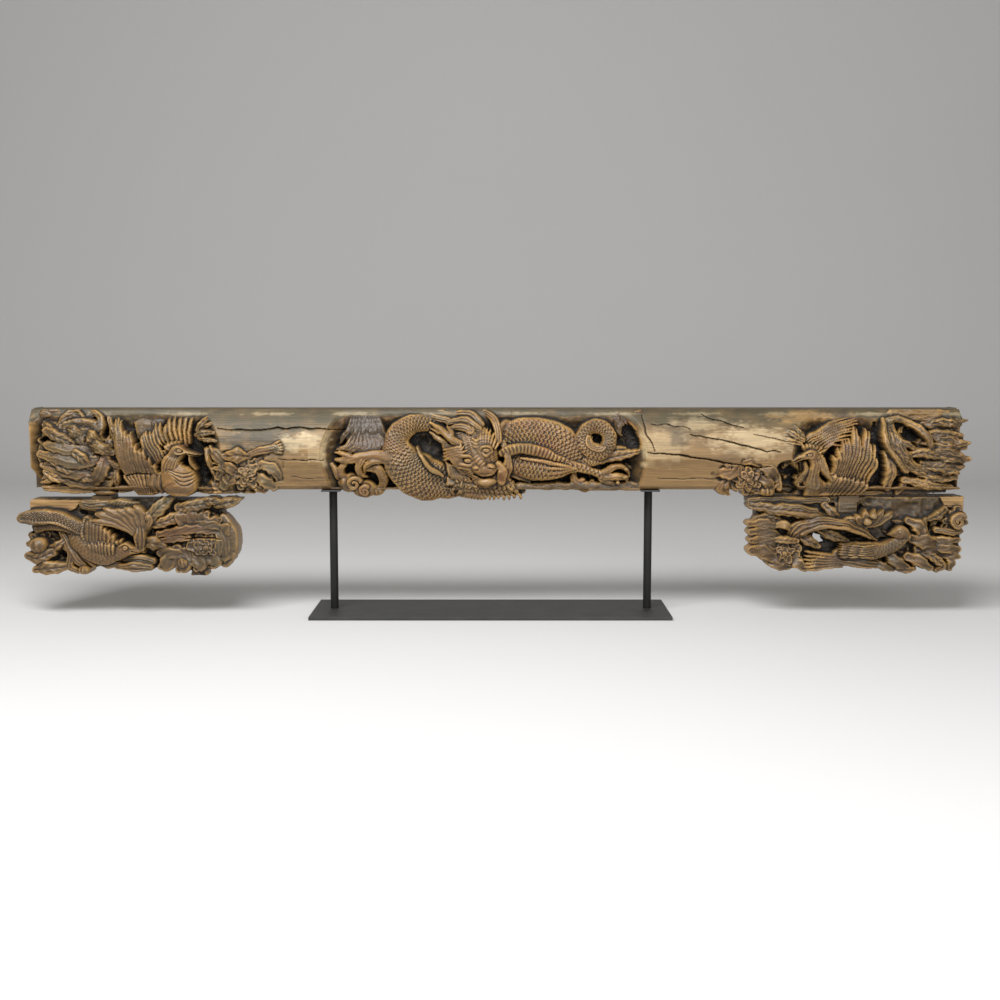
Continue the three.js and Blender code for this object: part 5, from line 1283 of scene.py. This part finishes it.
def carve_right_spandrel_bird(cut):
    """The bird that looks back, with the buds, petals and rose round it."""
    tail = ((818, 128), (814, 118), (816, 106)), ((728, 142), (708, 118), (724, 98))
    cut.fan(*tail, 6, (10, 6), 0, 0.5, 0.8, strands(2, 1.4), warm=0.15)
    body = [(804, 134, 14, 12), (834, 144, 4, 21), (875, 146, 0, 22), (912, 149, 2, 17)]
    neck = [(942, 163, 6, 15), (960, 182, 6, 13), (952, 191, 6, 12)]
    cut.limb(body + neck, 0.6, scales(9, 1.6), warm=0.3)
    for row in range(3):
        shift = 22 * row
        roots = ((884 - shift, 160), (878 - shift, 146), (884 - shift, 132))
        tips = ((850 - shift, 160), (842 - shift, 146), (850 - shift, 130))
        cut.fan(roots, tips, 6, (-12 + 5 * row, -17 + 6 * row), 0, 0.46, 0.8)
    head = [(964, 180, 6, 11), (952, 190, -2, 15), (936, 187, 0, 11), (920, 182, 8, 1.5)]
    cut.limb(head, 0.75, warm=0.25, pale=0.06)
    # The eye carries a painted highlight (pale).
    cut.boss(944, 192, -13, 4, 4, 3, pale=0.3)
    cut.groove([(943, 192, 0, 1.6), (945, 192, 0, 1.6)], 3)
    cut.groove([(936, 184, 0, 1.4), (922, 182, 0, 1)], 3)
    crest = ((862, 198), (868, 204), (886, 204)), ((846, 228), (880, 254), (934, 240))
    cut.fan(*crest, 5, (10, -2), 0, 0.52, 0.8, cup(2.0), warm=0.25)
    # The buds carry painted highlights (pale).
    for x, z in ((868, 214), (881, 229)):
        cut.boss(x, z, -4, 9, 10, 8, pale=0.3)
    cut.petal([(967, 216, 14, 9), (989, 206, 2, 17), (1007, 186, 8, 12)], 0.5, 4.0, 21, warm=0.15)
    cut.petal([(977, 173, 16, 12), (1005, 168, 2, 23), (1034, 161, 10, 12)], 0.45, 4.6, 27)
    cut.petal([(990, 150, 14, 8), (1018, 150, 6, 12), (1044, 142, 14, 7)], 0.5, 3.2, 17)
    cut.lock([(1009, 219, 16, 6), (1003, 198, 4, 9), (1007, 178, 10, 7)], 0.8, 2, 1.2)
    cut.leaf([(1021, 219, 18, 9), (1038, 228, 8, 13), (1056, 241, 16, 8)])
    cut.peony(1076, 214, 4, 32, 1.05, 5, 151)
    cut.curl(1078, 214, -8, 17, 7, 1.5, 0.6, cup(1.6))
    cut.limb([(1032, 193, 14, 8), (1064, 190, 2, 9), (1097, 191, 14, 5)], 0.7, strands(3, 1.8), notch=20)
    cut.petal([(1028, 170, 16, 8), (1063, 170, 4, 11), (1089, 171, 14, 7)], 0.6, 3.0, 18)
    cut.petal([(1023, 153, 16, 7), (1060, 151, 2, 13), (1091, 147, 14, 8)], 0.6, 3.4, 22)
    cut.petal([(1046, 134, 16, 8), (1072, 134, 6, 11), (1092, 130, 14, 7)], 0.6, 3.0, 15)


def carve_right_spandrel_foot(cut):
    """The leaves along the foot of the right block."""
    cut.lock([(805, 122, 12, 9), (855, 115, 2, 12), (907, 112, 12, 9)], 0.55, 3, 2.0, warm=0.15)
    cut.petal([(891, 122, 14, 7), (912, 109, 4, 11), (936, 100, 14, 6)], 0.55, 3.0, 14)
    cut.petal([(914, 141, 14, 8), (940, 121, 0, 17), (968, 106, 10, 8)], 0.5, 4.0, 21)
    cut.petal([(967, 132, 14, 11), (993, 121, 0, 17), (1021, 104, 10, 9)], 0.5, 4.0, 21, warm=0.15)
    cut.leaf([(991, 142, 14, 7), (1021, 133, 4, 11), (1050, 111, 8, 11), (1038, 98, 16, 7)])
    cut.petal([(1060, 140, 16, 7), (1070, 120, 6, 12), (1070, 102, 14, 8)], 0.6, 3.2, 15)
    cut.petal([(940, 106, 16, 7), (962, 100, 8, 9), (986, 100, 14, 7)], 0.6, 2.6, 12)


def finish_spandrel(cut):
    """Old paint and grime on a spandrel block, then its worn surface with painted shade in the hollows and
    painted highlights on proud edges.
    """
    paint = drift(cut.x, cut.z, 45, 30, 191) + 0.5 * drift(cut.x, cut.z, 8, 6, 192)
    cut.tint["red"] = np.maximum(cut.tint["red"], 0.4 * np.clip(paint - 0.6, 0, 1))
    moss = drift(cut.x, cut.z, 50, 40, 193) + 0.5 * drift(cut.x, cut.z, 9, 7, 194)
    cut.tint["green"] = np.maximum(cut.tint["green"], 0.45 * np.clip(moss - 0.6, 0, 1))
    cut.tint["dark"] = np.maximum(cut.tint["dark"], 0.16)
    cut.tint["grey"] = np.maximum(cut.tint["grey"], 0.6 * np.clip((cut.z - 238) / 20, 0, 1) * (1 - cut.plain))
    cut.finish()


# Meshes

BEVEL_SEGMENTS = 2
ROD_SIDES = 48
ROD_BEVEL = 0.0006


def finished_mesh(name, shape):
    """A mesh made from a bmesh, which is then freed."""
    mesh = bpy.data.meshes.new(name)
    shape.to_mesh(mesh)
    shape.free()
    return mesh


def relief_mesh(name, cut, first, last, rear):
    """A closed mesh of part of a carved face: its front, edges drawn straight back, and a flat rear."""
    high = cut.x.shape[0] - 1
    wide = last - first
    grid = bmesh.new()
    bmesh.ops.create_grid(grid, x_segments=wide, y_segments=high, size=1)
    if len(grid.verts) != (wide + 1) * (high + 1):
        raise RuntimeError(f"{name}: the grid has {len(grid.verts)} points")
    x, y, z = (layer[:, first : last + 1].tolist() for layer in (cut.x, cut.y, cut.z))
    bare = []
    for point in grid.verts:
        i = round((point.co.x + 1) / 2 * wide)
        j = round((point.co.y + 1) / 2 * high)
        point.co = (x[j][i] * MM, y[j][i] * MM, z[j][i] * MM + PLATE_TOP)
        if y[j][i] >= NO_WOOD:
            bare.append(point)
    bmesh.ops.delete(grid, geom=bare, context="VERTS")
    loose = [point for point in grid.verts if not point.link_faces]
    bmesh.ops.delete(grid, geom=loose, context="VERTS")
    seams = (x[0][0] * MM + 1e-6, x[0][-1] * MM - 1e-6)
    rim = [v for v in grid.verts if v.is_boundary and seams[0] < v.co.x < seams[1]]
    for _ in range(2):
        bmesh.ops.smooth_vert(grid, verts=rim, factor=0.5, use_axis_x=True, use_axis_y=False, use_axis_z=True)
    front = set(grid.faces)
    edges = [edge for edge in grid.edges if edge.is_boundary]
    drawn = bmesh.ops.extrude_edge_only(grid, edges=edges)["geom"]
    for point in drawn:
        if isinstance(point, bmesh.types.BMVert):
            point.co.y = rear * MM
    loop = [edge for edge in drawn if isinstance(edge, bmesh.types.BMEdge) and edge.is_boundary]
    bmesh.ops.triangle_fill(grid, edges=loop, use_beauty=False, use_dissolve=False, normal=(0, 1, 0))
    bmesh.ops.recalc_face_normals(grid, faces=grid.faces)
    for face in front:
        face.smooth = True
    mesh = finished_mesh(name, grid)
    paint_masks(mesh, cut)
    return mesh


def paint_masks(mesh, cut):
    """Writes the carving's masks to a mesh: grime with painted shade, edge wear with painted highlight,
    plainness and bare wood, then the tints, whose pale and dark also hold painted highlight and painted
    shade.
    """
    count = len(mesh.vertices)
    places = np.empty(3 * count, np.float32)
    mesh.vertices.foreach_get("co", places)
    places = places.reshape(-1, 3)
    rows, columns = cut.x.shape
    i = np.clip(np.rint((places[:, 0] / MM - cut.low[0]) / cut.pitch).astype(int), 0, columns - 1)
    j = np.clip(np.rint(((places[:, 2] - PLATE_TOP) / MM - cut.low[1]) / cut.pitch).astype(int), 0, rows - 1)
    tint = cut.tint
    layers = {
        "light_and_wear": (cut.recess, cut.wear_and_highlight, cut.plain, tint["raw"]),
        "stain_and_light": (tint["pale"], tint["grey"], tint["dark"], tint["warm"]),
        "paint": (tint["red"], tint["green"]),
    }
    for name, masks in layers.items():
        values = np.zeros((count, 4), np.float32)
        for channel, mask in enumerate(masks):
            values[:, channel] = mask[j, i]
        layer = mesh.color_attributes.new(name, "FLOAT_COLOR", "POINT")
        layer.data.foreach_set("color", values.ravel())


def plain_masks(mesh, plain, raw):
    """Masks for a plain piece of wood, even all over."""
    layers = {"light_and_wear": (0.15, 0.0, plain, raw), "stain_and_light": (0, 0.3, 0.1, 0.2), "paint": (0, 0, 0, 0)}
    for name, value in layers.items():
        layer = mesh.color_attributes.new(name, "FLOAT_COLOR", "POINT")
        layer.data.foreach_set("color", np.tile(np.array(value, np.float32), len(mesh.vertices)))


def bevel_edges(shape, edges, width):
    """A small rounded bevel along the edges."""
    bmesh.ops.bevel(
        shape, geom=edges, offset=width, segments=BEVEL_SEGMENTS, profile=0.5, affect="EDGES", material=-1
    )


def box_mesh(name, low, high, bevel):
    """A box between two corners, its edges bevelled."""
    shape = bmesh.new()
    bmesh.ops.create_cube(shape, size=1)
    for point in shape.verts:
        point.co = [a + (c + 0.5) * (b - a) for a, b, c in zip(low, high, point.co)]
    bevel_edges(shape, shape.edges[:], bevel)
    return finished_mesh(name, shape)


def board_mesh(name, outline, hole, front, back, tenon_x):
    """A spandrel block's rear: its outline, pierced, between two depths, with its tenon on top."""
    shape = bmesh.new()
    edges = []
    for loop in filter(None, (outline, hole)):
        points = [shape.verts.new((x * MM, front * MM, z * MM + PLATE_TOP)) for x, z in loop]
        edges += [shape.edges.new(pair) for pair in zip(points, points[1:] + points[:1])]
    filled = bmesh.ops.triangle_fill(shape, edges=edges, use_beauty=True, normal=(0, -1, 0))
    faces = [item for item in filled["geom"] if isinstance(item, bmesh.types.BMFace)]
    drawn = bmesh.ops.extrude_face_region(shape, geom=faces)["geom"]
    moved = [item for item in drawn if isinstance(item, bmesh.types.BMVert)]
    bmesh.ops.translate(shape, verts=moved, vec=(0, (back - front) * MM, 0))
    bmesh.ops.recalc_face_normals(shape, faces=shape.faces)
    tenon = bmesh.ops.create_cube(shape, size=1)["verts"]
    sizes = (TENON_WIDTH * MM, TENON_DEPTH * MM, (TENON_HIGH - TENON_LOW) * MM)
    bmesh.ops.scale(shape, verts=tenon, vec=sizes)
    place = (tenon_x * MM, 0, (TENON_LOW + TENON_HIGH) / 2 * MM + PLATE_TOP)
    bmesh.ops.translate(shape, verts=tenon, vec=place)
    return finished_mesh(name, shape)


def rod_mesh(name, low, high):
    """A round bar that fills an upright box, its end edges bevelled."""
    radius = (high[0] - low[0]) / 2
    shape = bmesh.new()
    bmesh.ops.create_cone(
        shape, cap_ends=True, segments=ROD_SIDES, radius1=radius, radius2=radius, depth=high[2] - low[2]
    )
    middle = [(a + b) / 2 for a, b in zip(low, high)]
    bmesh.ops.translate(shape, verts=shape.verts, vec=middle)
    rims = [edge for edge in shape.edges if abs(edge.verts[0].co.z - edge.verts[1].co.z) < 1e-6]
    bevel_edges(shape, rims, ROD_BEVEL)
    for face in shape.faces:
        face.smooth = len(face.verts) == 4
    return finished_mesh(name, shape)


def add_piece(mesh, material, node):
    """Puts a finished mesh in the scene as the dressed form of a node."""
    mesh.materials.append(material)
    piece = bpy.data.objects.new(mesh.name, mesh)
    bpy.context.scene.collection.objects.link(piece)
    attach(piece, "root")
    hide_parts(node)
    return piece


# Materials


class Socket:
    """An output socket of a finish, so that shader maths reads as plain expressions."""

    def __init__(self, finish, output):
        self.finish = finish
        self.output = output

    def maths(self, operation, first, second):
        return self.finish.node("ShaderNodeMath", {"operation": operation}, {0: first, 1: second})

    def __add__(self, other):
        return self.maths("ADD", self, other)

    def __radd__(self, other):
        return self.maths("ADD", other, self)

    def __sub__(self, other):
        return self.maths("SUBTRACT", self, other)

    def __rsub__(self, other):
        return self.maths("SUBTRACT", other, self)

    def __mul__(self, other):
        return self.maths("MULTIPLY", self, other)

    def __rmul__(self, other):
        return self.maths("MULTIPLY", other, self)

    def __pow__(self, other):
        return self.maths("POWER", self, other)

    def held(self):
        """The value kept between 0 and 1."""
        return self.finish.node("ShaderNodeClamp", {}, {"Value": self})


class Finish:
    """A material under construction."""

    def __init__(self, name):
        self.material = bpy.data.materials.new(name)
        self.material.use_nodes = True
        self.tree = self.material.node_tree
        self.tree.nodes.clear()

    def node(self, kind, settings, sockets, output=0):
        """Adds a node: its settings first, then the values or links of its sockets."""
        made = self.tree.nodes.new(kind)
        for name, value in settings.items():
            setattr(made, name, value)
        for key, value in sockets.items():
            if isinstance(value, Socket):
                self.tree.links.new(value.output, made.inputs[key])
            else:
                made.inputs[key].default_value = value
        return Socket(self, made.outputs[output]) if made.outputs else None

    def mix(self, factor, first, second):
        """One colour over another."""
        settings = {"data_type": "RGBA", "blend_type": "MIX"}
        colours = [c if isinstance(c, Socket) else (*c, 1.0) for c in (first, second)]
        return self.node("ShaderNodeMix", settings, {0: factor, 6: colours[0], 7: colours[1]}, 2)

    def channels(self, attribute):
        """The red, green, blue and alpha of a mask layer, as values."""
        layer = self.node("ShaderNodeAttribute", {"attribute_name": attribute}, {}, "Color")
        names = ("Red", "Green", "Blue")
        split = [self.node("ShaderNodeSeparateColor", {}, {"Color": layer}, name) for name in names]
        alpha = self.node("ShaderNodeAttribute", {"attribute_name": attribute}, {}, "Alpha")
        return [*split, alpha]

    def noise(self, scale, detail, stretch=(1, 1, 1)):
        """Noise over the piece's own coordinates, stretched along each axis."""
        place = self.node("ShaderNodeTexCoord", {}, {}, "Object")
        place = self.node("ShaderNodeMapping", {}, {"Vector": place, "Scale": stretch})
        sockets = {"Vector": place, "Scale": scale, "Detail": detail, "Roughness": 0.55}
        return self.node("ShaderNodeTexNoise", {}, sockets)

    def surface(self, base, roughness, bump, strength, distance, **constants):
        """The surface itself and the material output."""
        normal = self.node("ShaderNodeBump", {}, {"Strength": strength, "Distance": distance, "Height": bump})
        sockets = {"Base Color": base, "Roughness": roughness, "Normal": normal, **constants}
        shader = self.node("ShaderNodeBsdfPrincipled", {}, sockets)
        self.node("ShaderNodeOutputMaterial", {}, {"Surface": shader})
        return self.material


def wood_finish(name, colours, shade):
    """Old carved wood: grime and painted shade in the hollows, edge wear and painted highlights on proud
    edges, greyed above, with traces of paint.
    """
    finish = Finish(name)
    recess, wear_and_highlight, plain, raw = finish.channels("light_and_wear")
    pale, grey, dark, warm = finish.channels("stain_and_light")
    red, green, _, _ = finish.channels("paint")
    streaks = finish.noise(34, 6, (0.12, 1, 1.6))
    fibres = finish.noise(420, 3, (0.06, 1, 1))
    blotches = finish.noise(24, 5)
    clouds = finish.noise(9, 4)
    specks = finish.noise(210, 3)
    tone = (1.5 * streaks + 1.2 * blotches - 0.85).held()
    base = finish.mix(tone, colours.wood_deep, colours.wood_mid)
    base = finish.mix((warm * (0.25 + 1.1 * blotches)).held(), base, colours.wood_warm)
    base = finish.mix(((1 - plain) * (2.6 * clouds - 1.1)).held(), base, colours.wood_grey)
    base = finish.mix((plain * (1.9 * streaks - 0.1)).held(), base, colours.wood_plain)
    base = finish.mix((grey * (0.3 + 1.3 * blotches)).held(), base, colours.wood_grey)
    # Bleached wood and painted highlights.
    base = finish.mix((pale * (0.1 + 1.3 * streaks)).held(), base, colours.wood_bleach_and_highlight)
    base = finish.mix((raw * (0.3 + 1.0 * streaks)).held(), base, colours.wood_raw)
    # Edge wear and painted highlight on proud edges.
    base = finish.mix((wear_and_highlight * (2.4 * blotches - 0.55)).held(), base, colours.wood_worn_highlight)
    base = finish.mix((red * (0.2 + 1.2 * specks)).held(), base, colours.paint_red)
    base = finish.mix((green * (0.2 + 1.2 * specks)).held(), base, colours.paint_green)
    # Stains, and painted shade in dug holes and deep pockets.
    base = finish.mix((dark * (0.3 + blotches)).held(), base, colours.wood_stain_and_shade)
    base = finish.mix((fibres - 0.4).held() * 1.5, base, finish.mix(0.6, base, colours.wood_stain_and_shade))
    # Grime and painted shade in the hollows.
    grime_and_shade = (recess * (0.8 + 0.6 * blotches)).held()
    base = finish.mix(grime_and_shade**shade, base, colours.wood_grime_shade)
    roughness = (0.35 + 0.1 * plain - 0.06 * wear_and_highlight + 0.3 * recess + 0.18 * specks).held()
    bump = 0.7 * fibres + 0.5 * streaks + 0.5 * specks
    return finish.surface(base, roughness, bump, 0.4, 0.0012, **{"Specular IOR Level": 0.5})


def steel_finish(name, colours, sheen, shine):
    """Dark painted steel, a little mottled and dusty; the sheen scales its lighter places and its dust, and a
    low sheen gives a darker copy that paints shade on the posts.
    """
    finish = Finish(name)
    mottle = finish.noise(14, 5)
    grit = finish.noise(600, 2)
    base = finish.mix(sheen * (1.5 * mottle - 0.35).held(), colours.steel_dark, colours.steel_light)
    base = finish.mix(1.2 * sheen * (grit - 0.6).held(), base, colours.steel_dust)
    roughness = (0.4 + 0.25 * mottle + 0.1 * grit).held()
    return finish.surface(
        base, roughness, grit, 0.12, 0.0004, **{"Metallic": 0.2, "Specular IOR Level": shine}
    )


def floor_finish(colour):
    """A plain pale studio floor."""
    finish = Finish("studio floor")
    cloud = finish.noise(0.7, 2)
    base = finish.mix(cloud, [0.96 * c for c in colour], colour)
    return finish.surface(base, 0.75, cloud, 0.02, 0.001)


# Settings


def length_property(label, words, size):
    """A length setting with its description and default."""
    return FloatProperty(name=label, description=words, default=size, unit="LENGTH")


class LintelSizes(bpy.types.PropertyGroup):
    """Sizes that a user would change."""

    log_pitch: length_property("Log pitch", "Distance between the log's carved points", 0.0013)
    spandrel_pitch: length_property("Spandrel pitch", "Distance between a spandrel's carved points", 0.00115)
    steel_bevel: length_property("Steel bevel", "Bevel on the edges of the stand's plates", 0.0008)


def colour_property(label, words, colour):
    """A colour setting with its description and default."""
    return FloatVectorProperty(
        name=label, description=words, default=colour, subtype="COLOR", size=3, min=0, max=1,
    )


class LintelColours(bpy.types.PropertyGroup):
    """Colours of the wood, its old paint and the steel."""

    wood_mid: colour_property("Wood", "Carved wood in the light", (0.128, 0.066, 0.02))
    wood_deep: colour_property("Deep wood", "Darker streaks in the carved wood", (0.044, 0.023, 0.0085))
    wood_warm: colour_property("Warm wood", "Golden carved wood of the figures", (0.232, 0.110, 0.028))
    wood_plain: colour_property("Plain wood", "The log's plain lengths", (0.255, 0.152, 0.056))
    wood_grey: colour_property("Grey wood", "Weathered wood near the top", (0.074, 0.058, 0.028))
    # Bleached patches, and painted highlights on proud bosses.
    wood_bleach_and_highlight: colour_property("Pale wood", "Bleached patches", (0.63, 0.49, 0.285))
    wood_raw: colour_property("Raw wood", "Bare wood at the ends", (0.48, 0.28, 0.1))
    # Edge wear, and painted highlights on proud edges.
    wood_worn_highlight: colour_property("Rubbed wood", "Edges worn by handling", (0.42, 0.245, 0.078))
    # Stains, and painted shade in dug holes and deep pockets.
    wood_stain_and_shade: colour_property("Dark wood", "Stains", (0.032, 0.021, 0.011))
    # Grime, and painted shade in the hollows.
    wood_grime_shade: colour_property("Grime", "Dirt in the hollows", (0.008, 0.0055, 0.0035))
    paint_red: colour_property("Red paint", "Traces of old red", (0.230, 0.060, 0.035))
    paint_green: colour_property("Green paint", "Traces of old green", (0.120, 0.140, 0.075))
    steel_dark: colour_property("Steel", "The stand's dark paint", (0.02, 0.02, 0.019))
    steel_light: colour_property("Steel sheen", "Lighter places in the dark paint", (0.056, 0.056, 0.053))
    steel_dust: colour_property("Dust", "Dust on the stand", (0.11, 0.11, 0.105))


class LintelStage(bpy.types.PropertyGroup):
    """The studio: its floor, its light and its camera."""

    floor_colour: colour_property("Floor", "The studio floor and wall", (0.62, 0.62, 0.62))
    key_power: FloatProperty(name="Key", description="Power of the main light", default=165.0, unit="POWER")
    fill_power: FloatProperty(name="Fill", description="Power of the front light", default=45.0, unit="POWER")
    ambient: FloatProperty(name="Ambient", description="Strength of the even light", default=0.35, min=0)
    lens: FloatProperty(name="Lens", description="Focal length in millimetres", default=50.0, min=10)
    camera_place: FloatVectorProperty(
        name="Camera",
        description="Where the camera stands",
        default=(0.014, -3.268, 0.620),
        subtype="TRANSLATION",
    )
    camera_pitch: FloatProperty(
        name="Camera pitch",
        description="How far the camera looks down",
        default=math.radians(6.16),
        subtype="ANGLE",
    )


# Operators


class LINTEL_OT_stage(bpy.types.Operator):
    """Set up the floor, the lights and the camera"""

    bl_idname = "lintel.stage"
    bl_label = "Stage"

    def execute(self, context):
        stage = context.scene.lintel_stage
        self.add_floor(context, stage)
        self.add_lights(context, stage)
        self.add_camera(context, stage)
        context.scene.view_settings.view_transform = "Standard"
        return {"FINISHED"}

    def add_floor(self, context, stage):
        """A floor that sweeps up into a wall behind the object."""
        sweep = bmesh.new()
        near, bend, radius, wall, half_width = -6.0, 3.2, 1.6, 7.0, 9.0
        line = [(near, 0.0), (bend, 0.0)]
        line += [
            (bend + radius * math.sin(a), radius * (1 - math.cos(a)))
            for a in np.linspace(0, math.pi / 2, 17)[1:]
        ]
        line.append((bend + radius, wall))
        points = [sweep.verts.new((-half_width, y, z)) for y, z in line]
        edges = [sweep.edges.new(pair) for pair in zip(points, points[1:])]
        drawn = bmesh.ops.extrude_edge_only(sweep, edges=edges)["geom"]
        moved = [item for item in drawn if isinstance(item, bmesh.types.BMVert)]
        bmesh.ops.translate(sweep, verts=moved, vec=(2 * half_width, 0, 0))
        bmesh.ops.recalc_face_normals(sweep, faces=sweep.faces)
        for face in sweep.faces:
            face.smooth = True
        mesh = finished_mesh("studio_floor", sweep)
        mesh.materials.append(floor_finish(stage.floor_colour))
        floor = bpy.data.objects.new("studio_floor", mesh)
        context.scene.collection.objects.link(floor)

    def add_lights(self, context, stage):
        """A broad light above the front, a soft fill and an even surround."""
        lights = (
            ("key", stage.key_power, (-0.9, -2.2, 2.9), (0.0, 0.0, 0.40), 2.6, 1.4),
            ("fill", stage.fill_power, (1.6, -3.4, 1.2), (0.2, 0.0, 0.35), 2.4, 1.6),
        )
        for name, power, place, target, width, height in lights:
            lamp = bpy.data.lights.new(name, "AREA")
            lamp.energy = power
            lamp.shape = "RECTANGLE"
            lamp.size = width
            lamp.size_y = height
            holder = bpy.data.objects.new(name, lamp)
            holder.location = place
            aim = np.subtract(target, place)
            flat = math.hypot(aim[0], aim[1])
            holder.rotation_euler = (math.atan2(flat, -aim[2]), 0, math.atan2(-aim[0], aim[1]))
            context.scene.collection.objects.link(holder)
        world = bpy.data.worlds.new("studio")
        world.use_nodes = True
        background = world.node_tree.nodes["Background"]
        background.inputs["Color"].default_value = (1.0, 0.97, 0.92, 1.0)
        background.inputs["Strength"].default_value = stage.ambient
        context.scene.world = world

    def add_camera(self, context, stage):
        """The camera at the photograph's place and angle."""
        lens = bpy.data.cameras.new("camera")
        lens.lens = stage.lens
        lens.sensor_width = 36
        camera = bpy.data.objects.new("camera", lens)
        camera.location = stage.camera_place
        camera.rotation_euler = (math.pi / 2 - stage.camera_pitch, 0, 0)
        context.scene.collection.objects.link(camera)
        context.scene.camera = camera


class LINTEL_OT_log(bpy.types.Operator):
    """Make the carved log"""

    bl_idname = "lintel.log"
    bl_label = "Log"

    def execute(self, context):
        sizes = context.scene.lintel_sizes
        wood = wood_finish("carved log wood", context.scene.lintel_colours, 0.8)
        cut = carved_log(sizes.log_pitch / MM)
        seams = [round((seam - cut.low[0]) / cut.pitch) for seam in LOG_SEAMS]
        stops = [0, *seams, cut.x.shape[1] - 1]
        for number, (first, last) in enumerate(zip(stops, stops[1:]), 1):
            mesh = relief_mesh(f"log_front_{number}", cut, first, last, LOG_REAR)
            add_piece(mesh, wood, "lintel_beam")
        cut = hewn_back()
        mesh = relief_mesh("log_back", cut, 0, cut.x.shape[1] - 1, LOG_REAR - OVERLAP)
        add_piece(mesh, wood, "lintel_beam")
        return {"FINISHED"}


class LINTEL_OT_spandrels(bpy.types.Operator):
    """Make the two carved spandrel blocks"""

    bl_idname = "lintel.spandrels"
    bl_label = "Spandrels"

    def execute(self, context):
        pitch = context.scene.lintel_sizes.spandrel_pitch / MM
        wood = wood_finish("spandrel wood", context.scene.lintel_colours, 0.7)
        blocks = (
            ("left_spandrel", carve_left_spandrel, LEFT_OUTLINE, None, LEFT_TENON_X),
            ("right_spandrel", carve_right_spandrel, RIGHT_OUTLINE, PIERCED, RIGHT_TENON_X),
        )
        for node, carve, outline, hole, tenon_x in blocks:
            cut = carve(pitch)
            mesh = relief_mesh(f"{node}_front", cut, 0, cut.x.shape[1] - 1, SPANDREL_REAR)
            add_piece(mesh, wood, node)
            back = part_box(node)[1].y / MM
            mesh = board_mesh(f"{node}_back", outline, hole, SPANDREL_REAR - OVERLAP, back, tenon_x)
            plain_masks(mesh, 0.4, 0.15)
            add_piece(mesh, wood, node)
        return {"FINISHED"}


class LINTEL_OT_stand(bpy.types.Operator):
    """Make the steel stand"""

    bl_idname = "lintel.stand"
    bl_label = "Stand"

    def execute(self, context):
        colours = context.scene.lintel_colours
        plate_steel = steel_finish("satin plate steel", colours, 1.0, 0.5)
        # The posts take a darker copy of the same steel: painted shade.
        shaded_post_steel = steel_finish("shaded dark post steel", colours, 0.15, 0.12)
        bevel = context.scene.lintel_sizes.steel_bevel
        for node in ("base_plate", "left_head_plate", "right_head_plate"):
            add_piece(box_mesh(f"{node}_steel", *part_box(node), bevel), plate_steel, node)
        for node in ("left_post", "right_post"):
            add_piece(rod_mesh(f"{node}_steel", *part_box(node)), shaded_post_steel, node)
        return {"FINISHED"}


class LINTEL_PT_panel(bpy.types.Panel):
    """Lists the steps that dress the lintel"""

    bl_idname = "LINTEL_PT_panel"
    bl_label = "Carved Door Lintel"
    bl_space_type = "VIEW_3D"
    bl_region_type = "UI"
    bl_category = "Lintel"

    def draw(self, context):
        for step in STEPS:
            self.layout.operator(step.bl_idname)
        for group in (context.scene.lintel_sizes, context.scene.lintel_colours, context.scene.lintel_stage):
            for name in group.bl_rna.properties.keys():
                if name not in ("rna_type", "name"):
                    self.layout.prop(group, name)


STEPS = (LINTEL_OT_stage, LINTEL_OT_stand, LINTEL_OT_spandrels, LINTEL_OT_log)
GROUPS = {"lintel_sizes": LintelSizes, "lintel_colours": LintelColours, "lintel_stage": LintelStage}


def register():
    for item in (*GROUPS.values(), *STEPS, LINTEL_PT_panel):
        bpy.utils.register_class(item)
    for name, group in GROUPS.items():
        setattr(bpy.types.Scene, name, PointerProperty(type=group))


def unregister():
    for name in GROUPS:
        delattr(bpy.types.Scene, name)
    for item in (LINTEL_PT_panel, *reversed(STEPS), *reversed(GROUPS.values())):
        bpy.utils.unregister_class(item)


def main():
    """Dresses the frame."""
    register()
    bpy.ops.lintel.stage()
    bpy.ops.lintel.stand()
    bpy.ops.lintel.spandrels()
    bpy.ops.lintel.log()


if __name__ == "__main__":
    main()
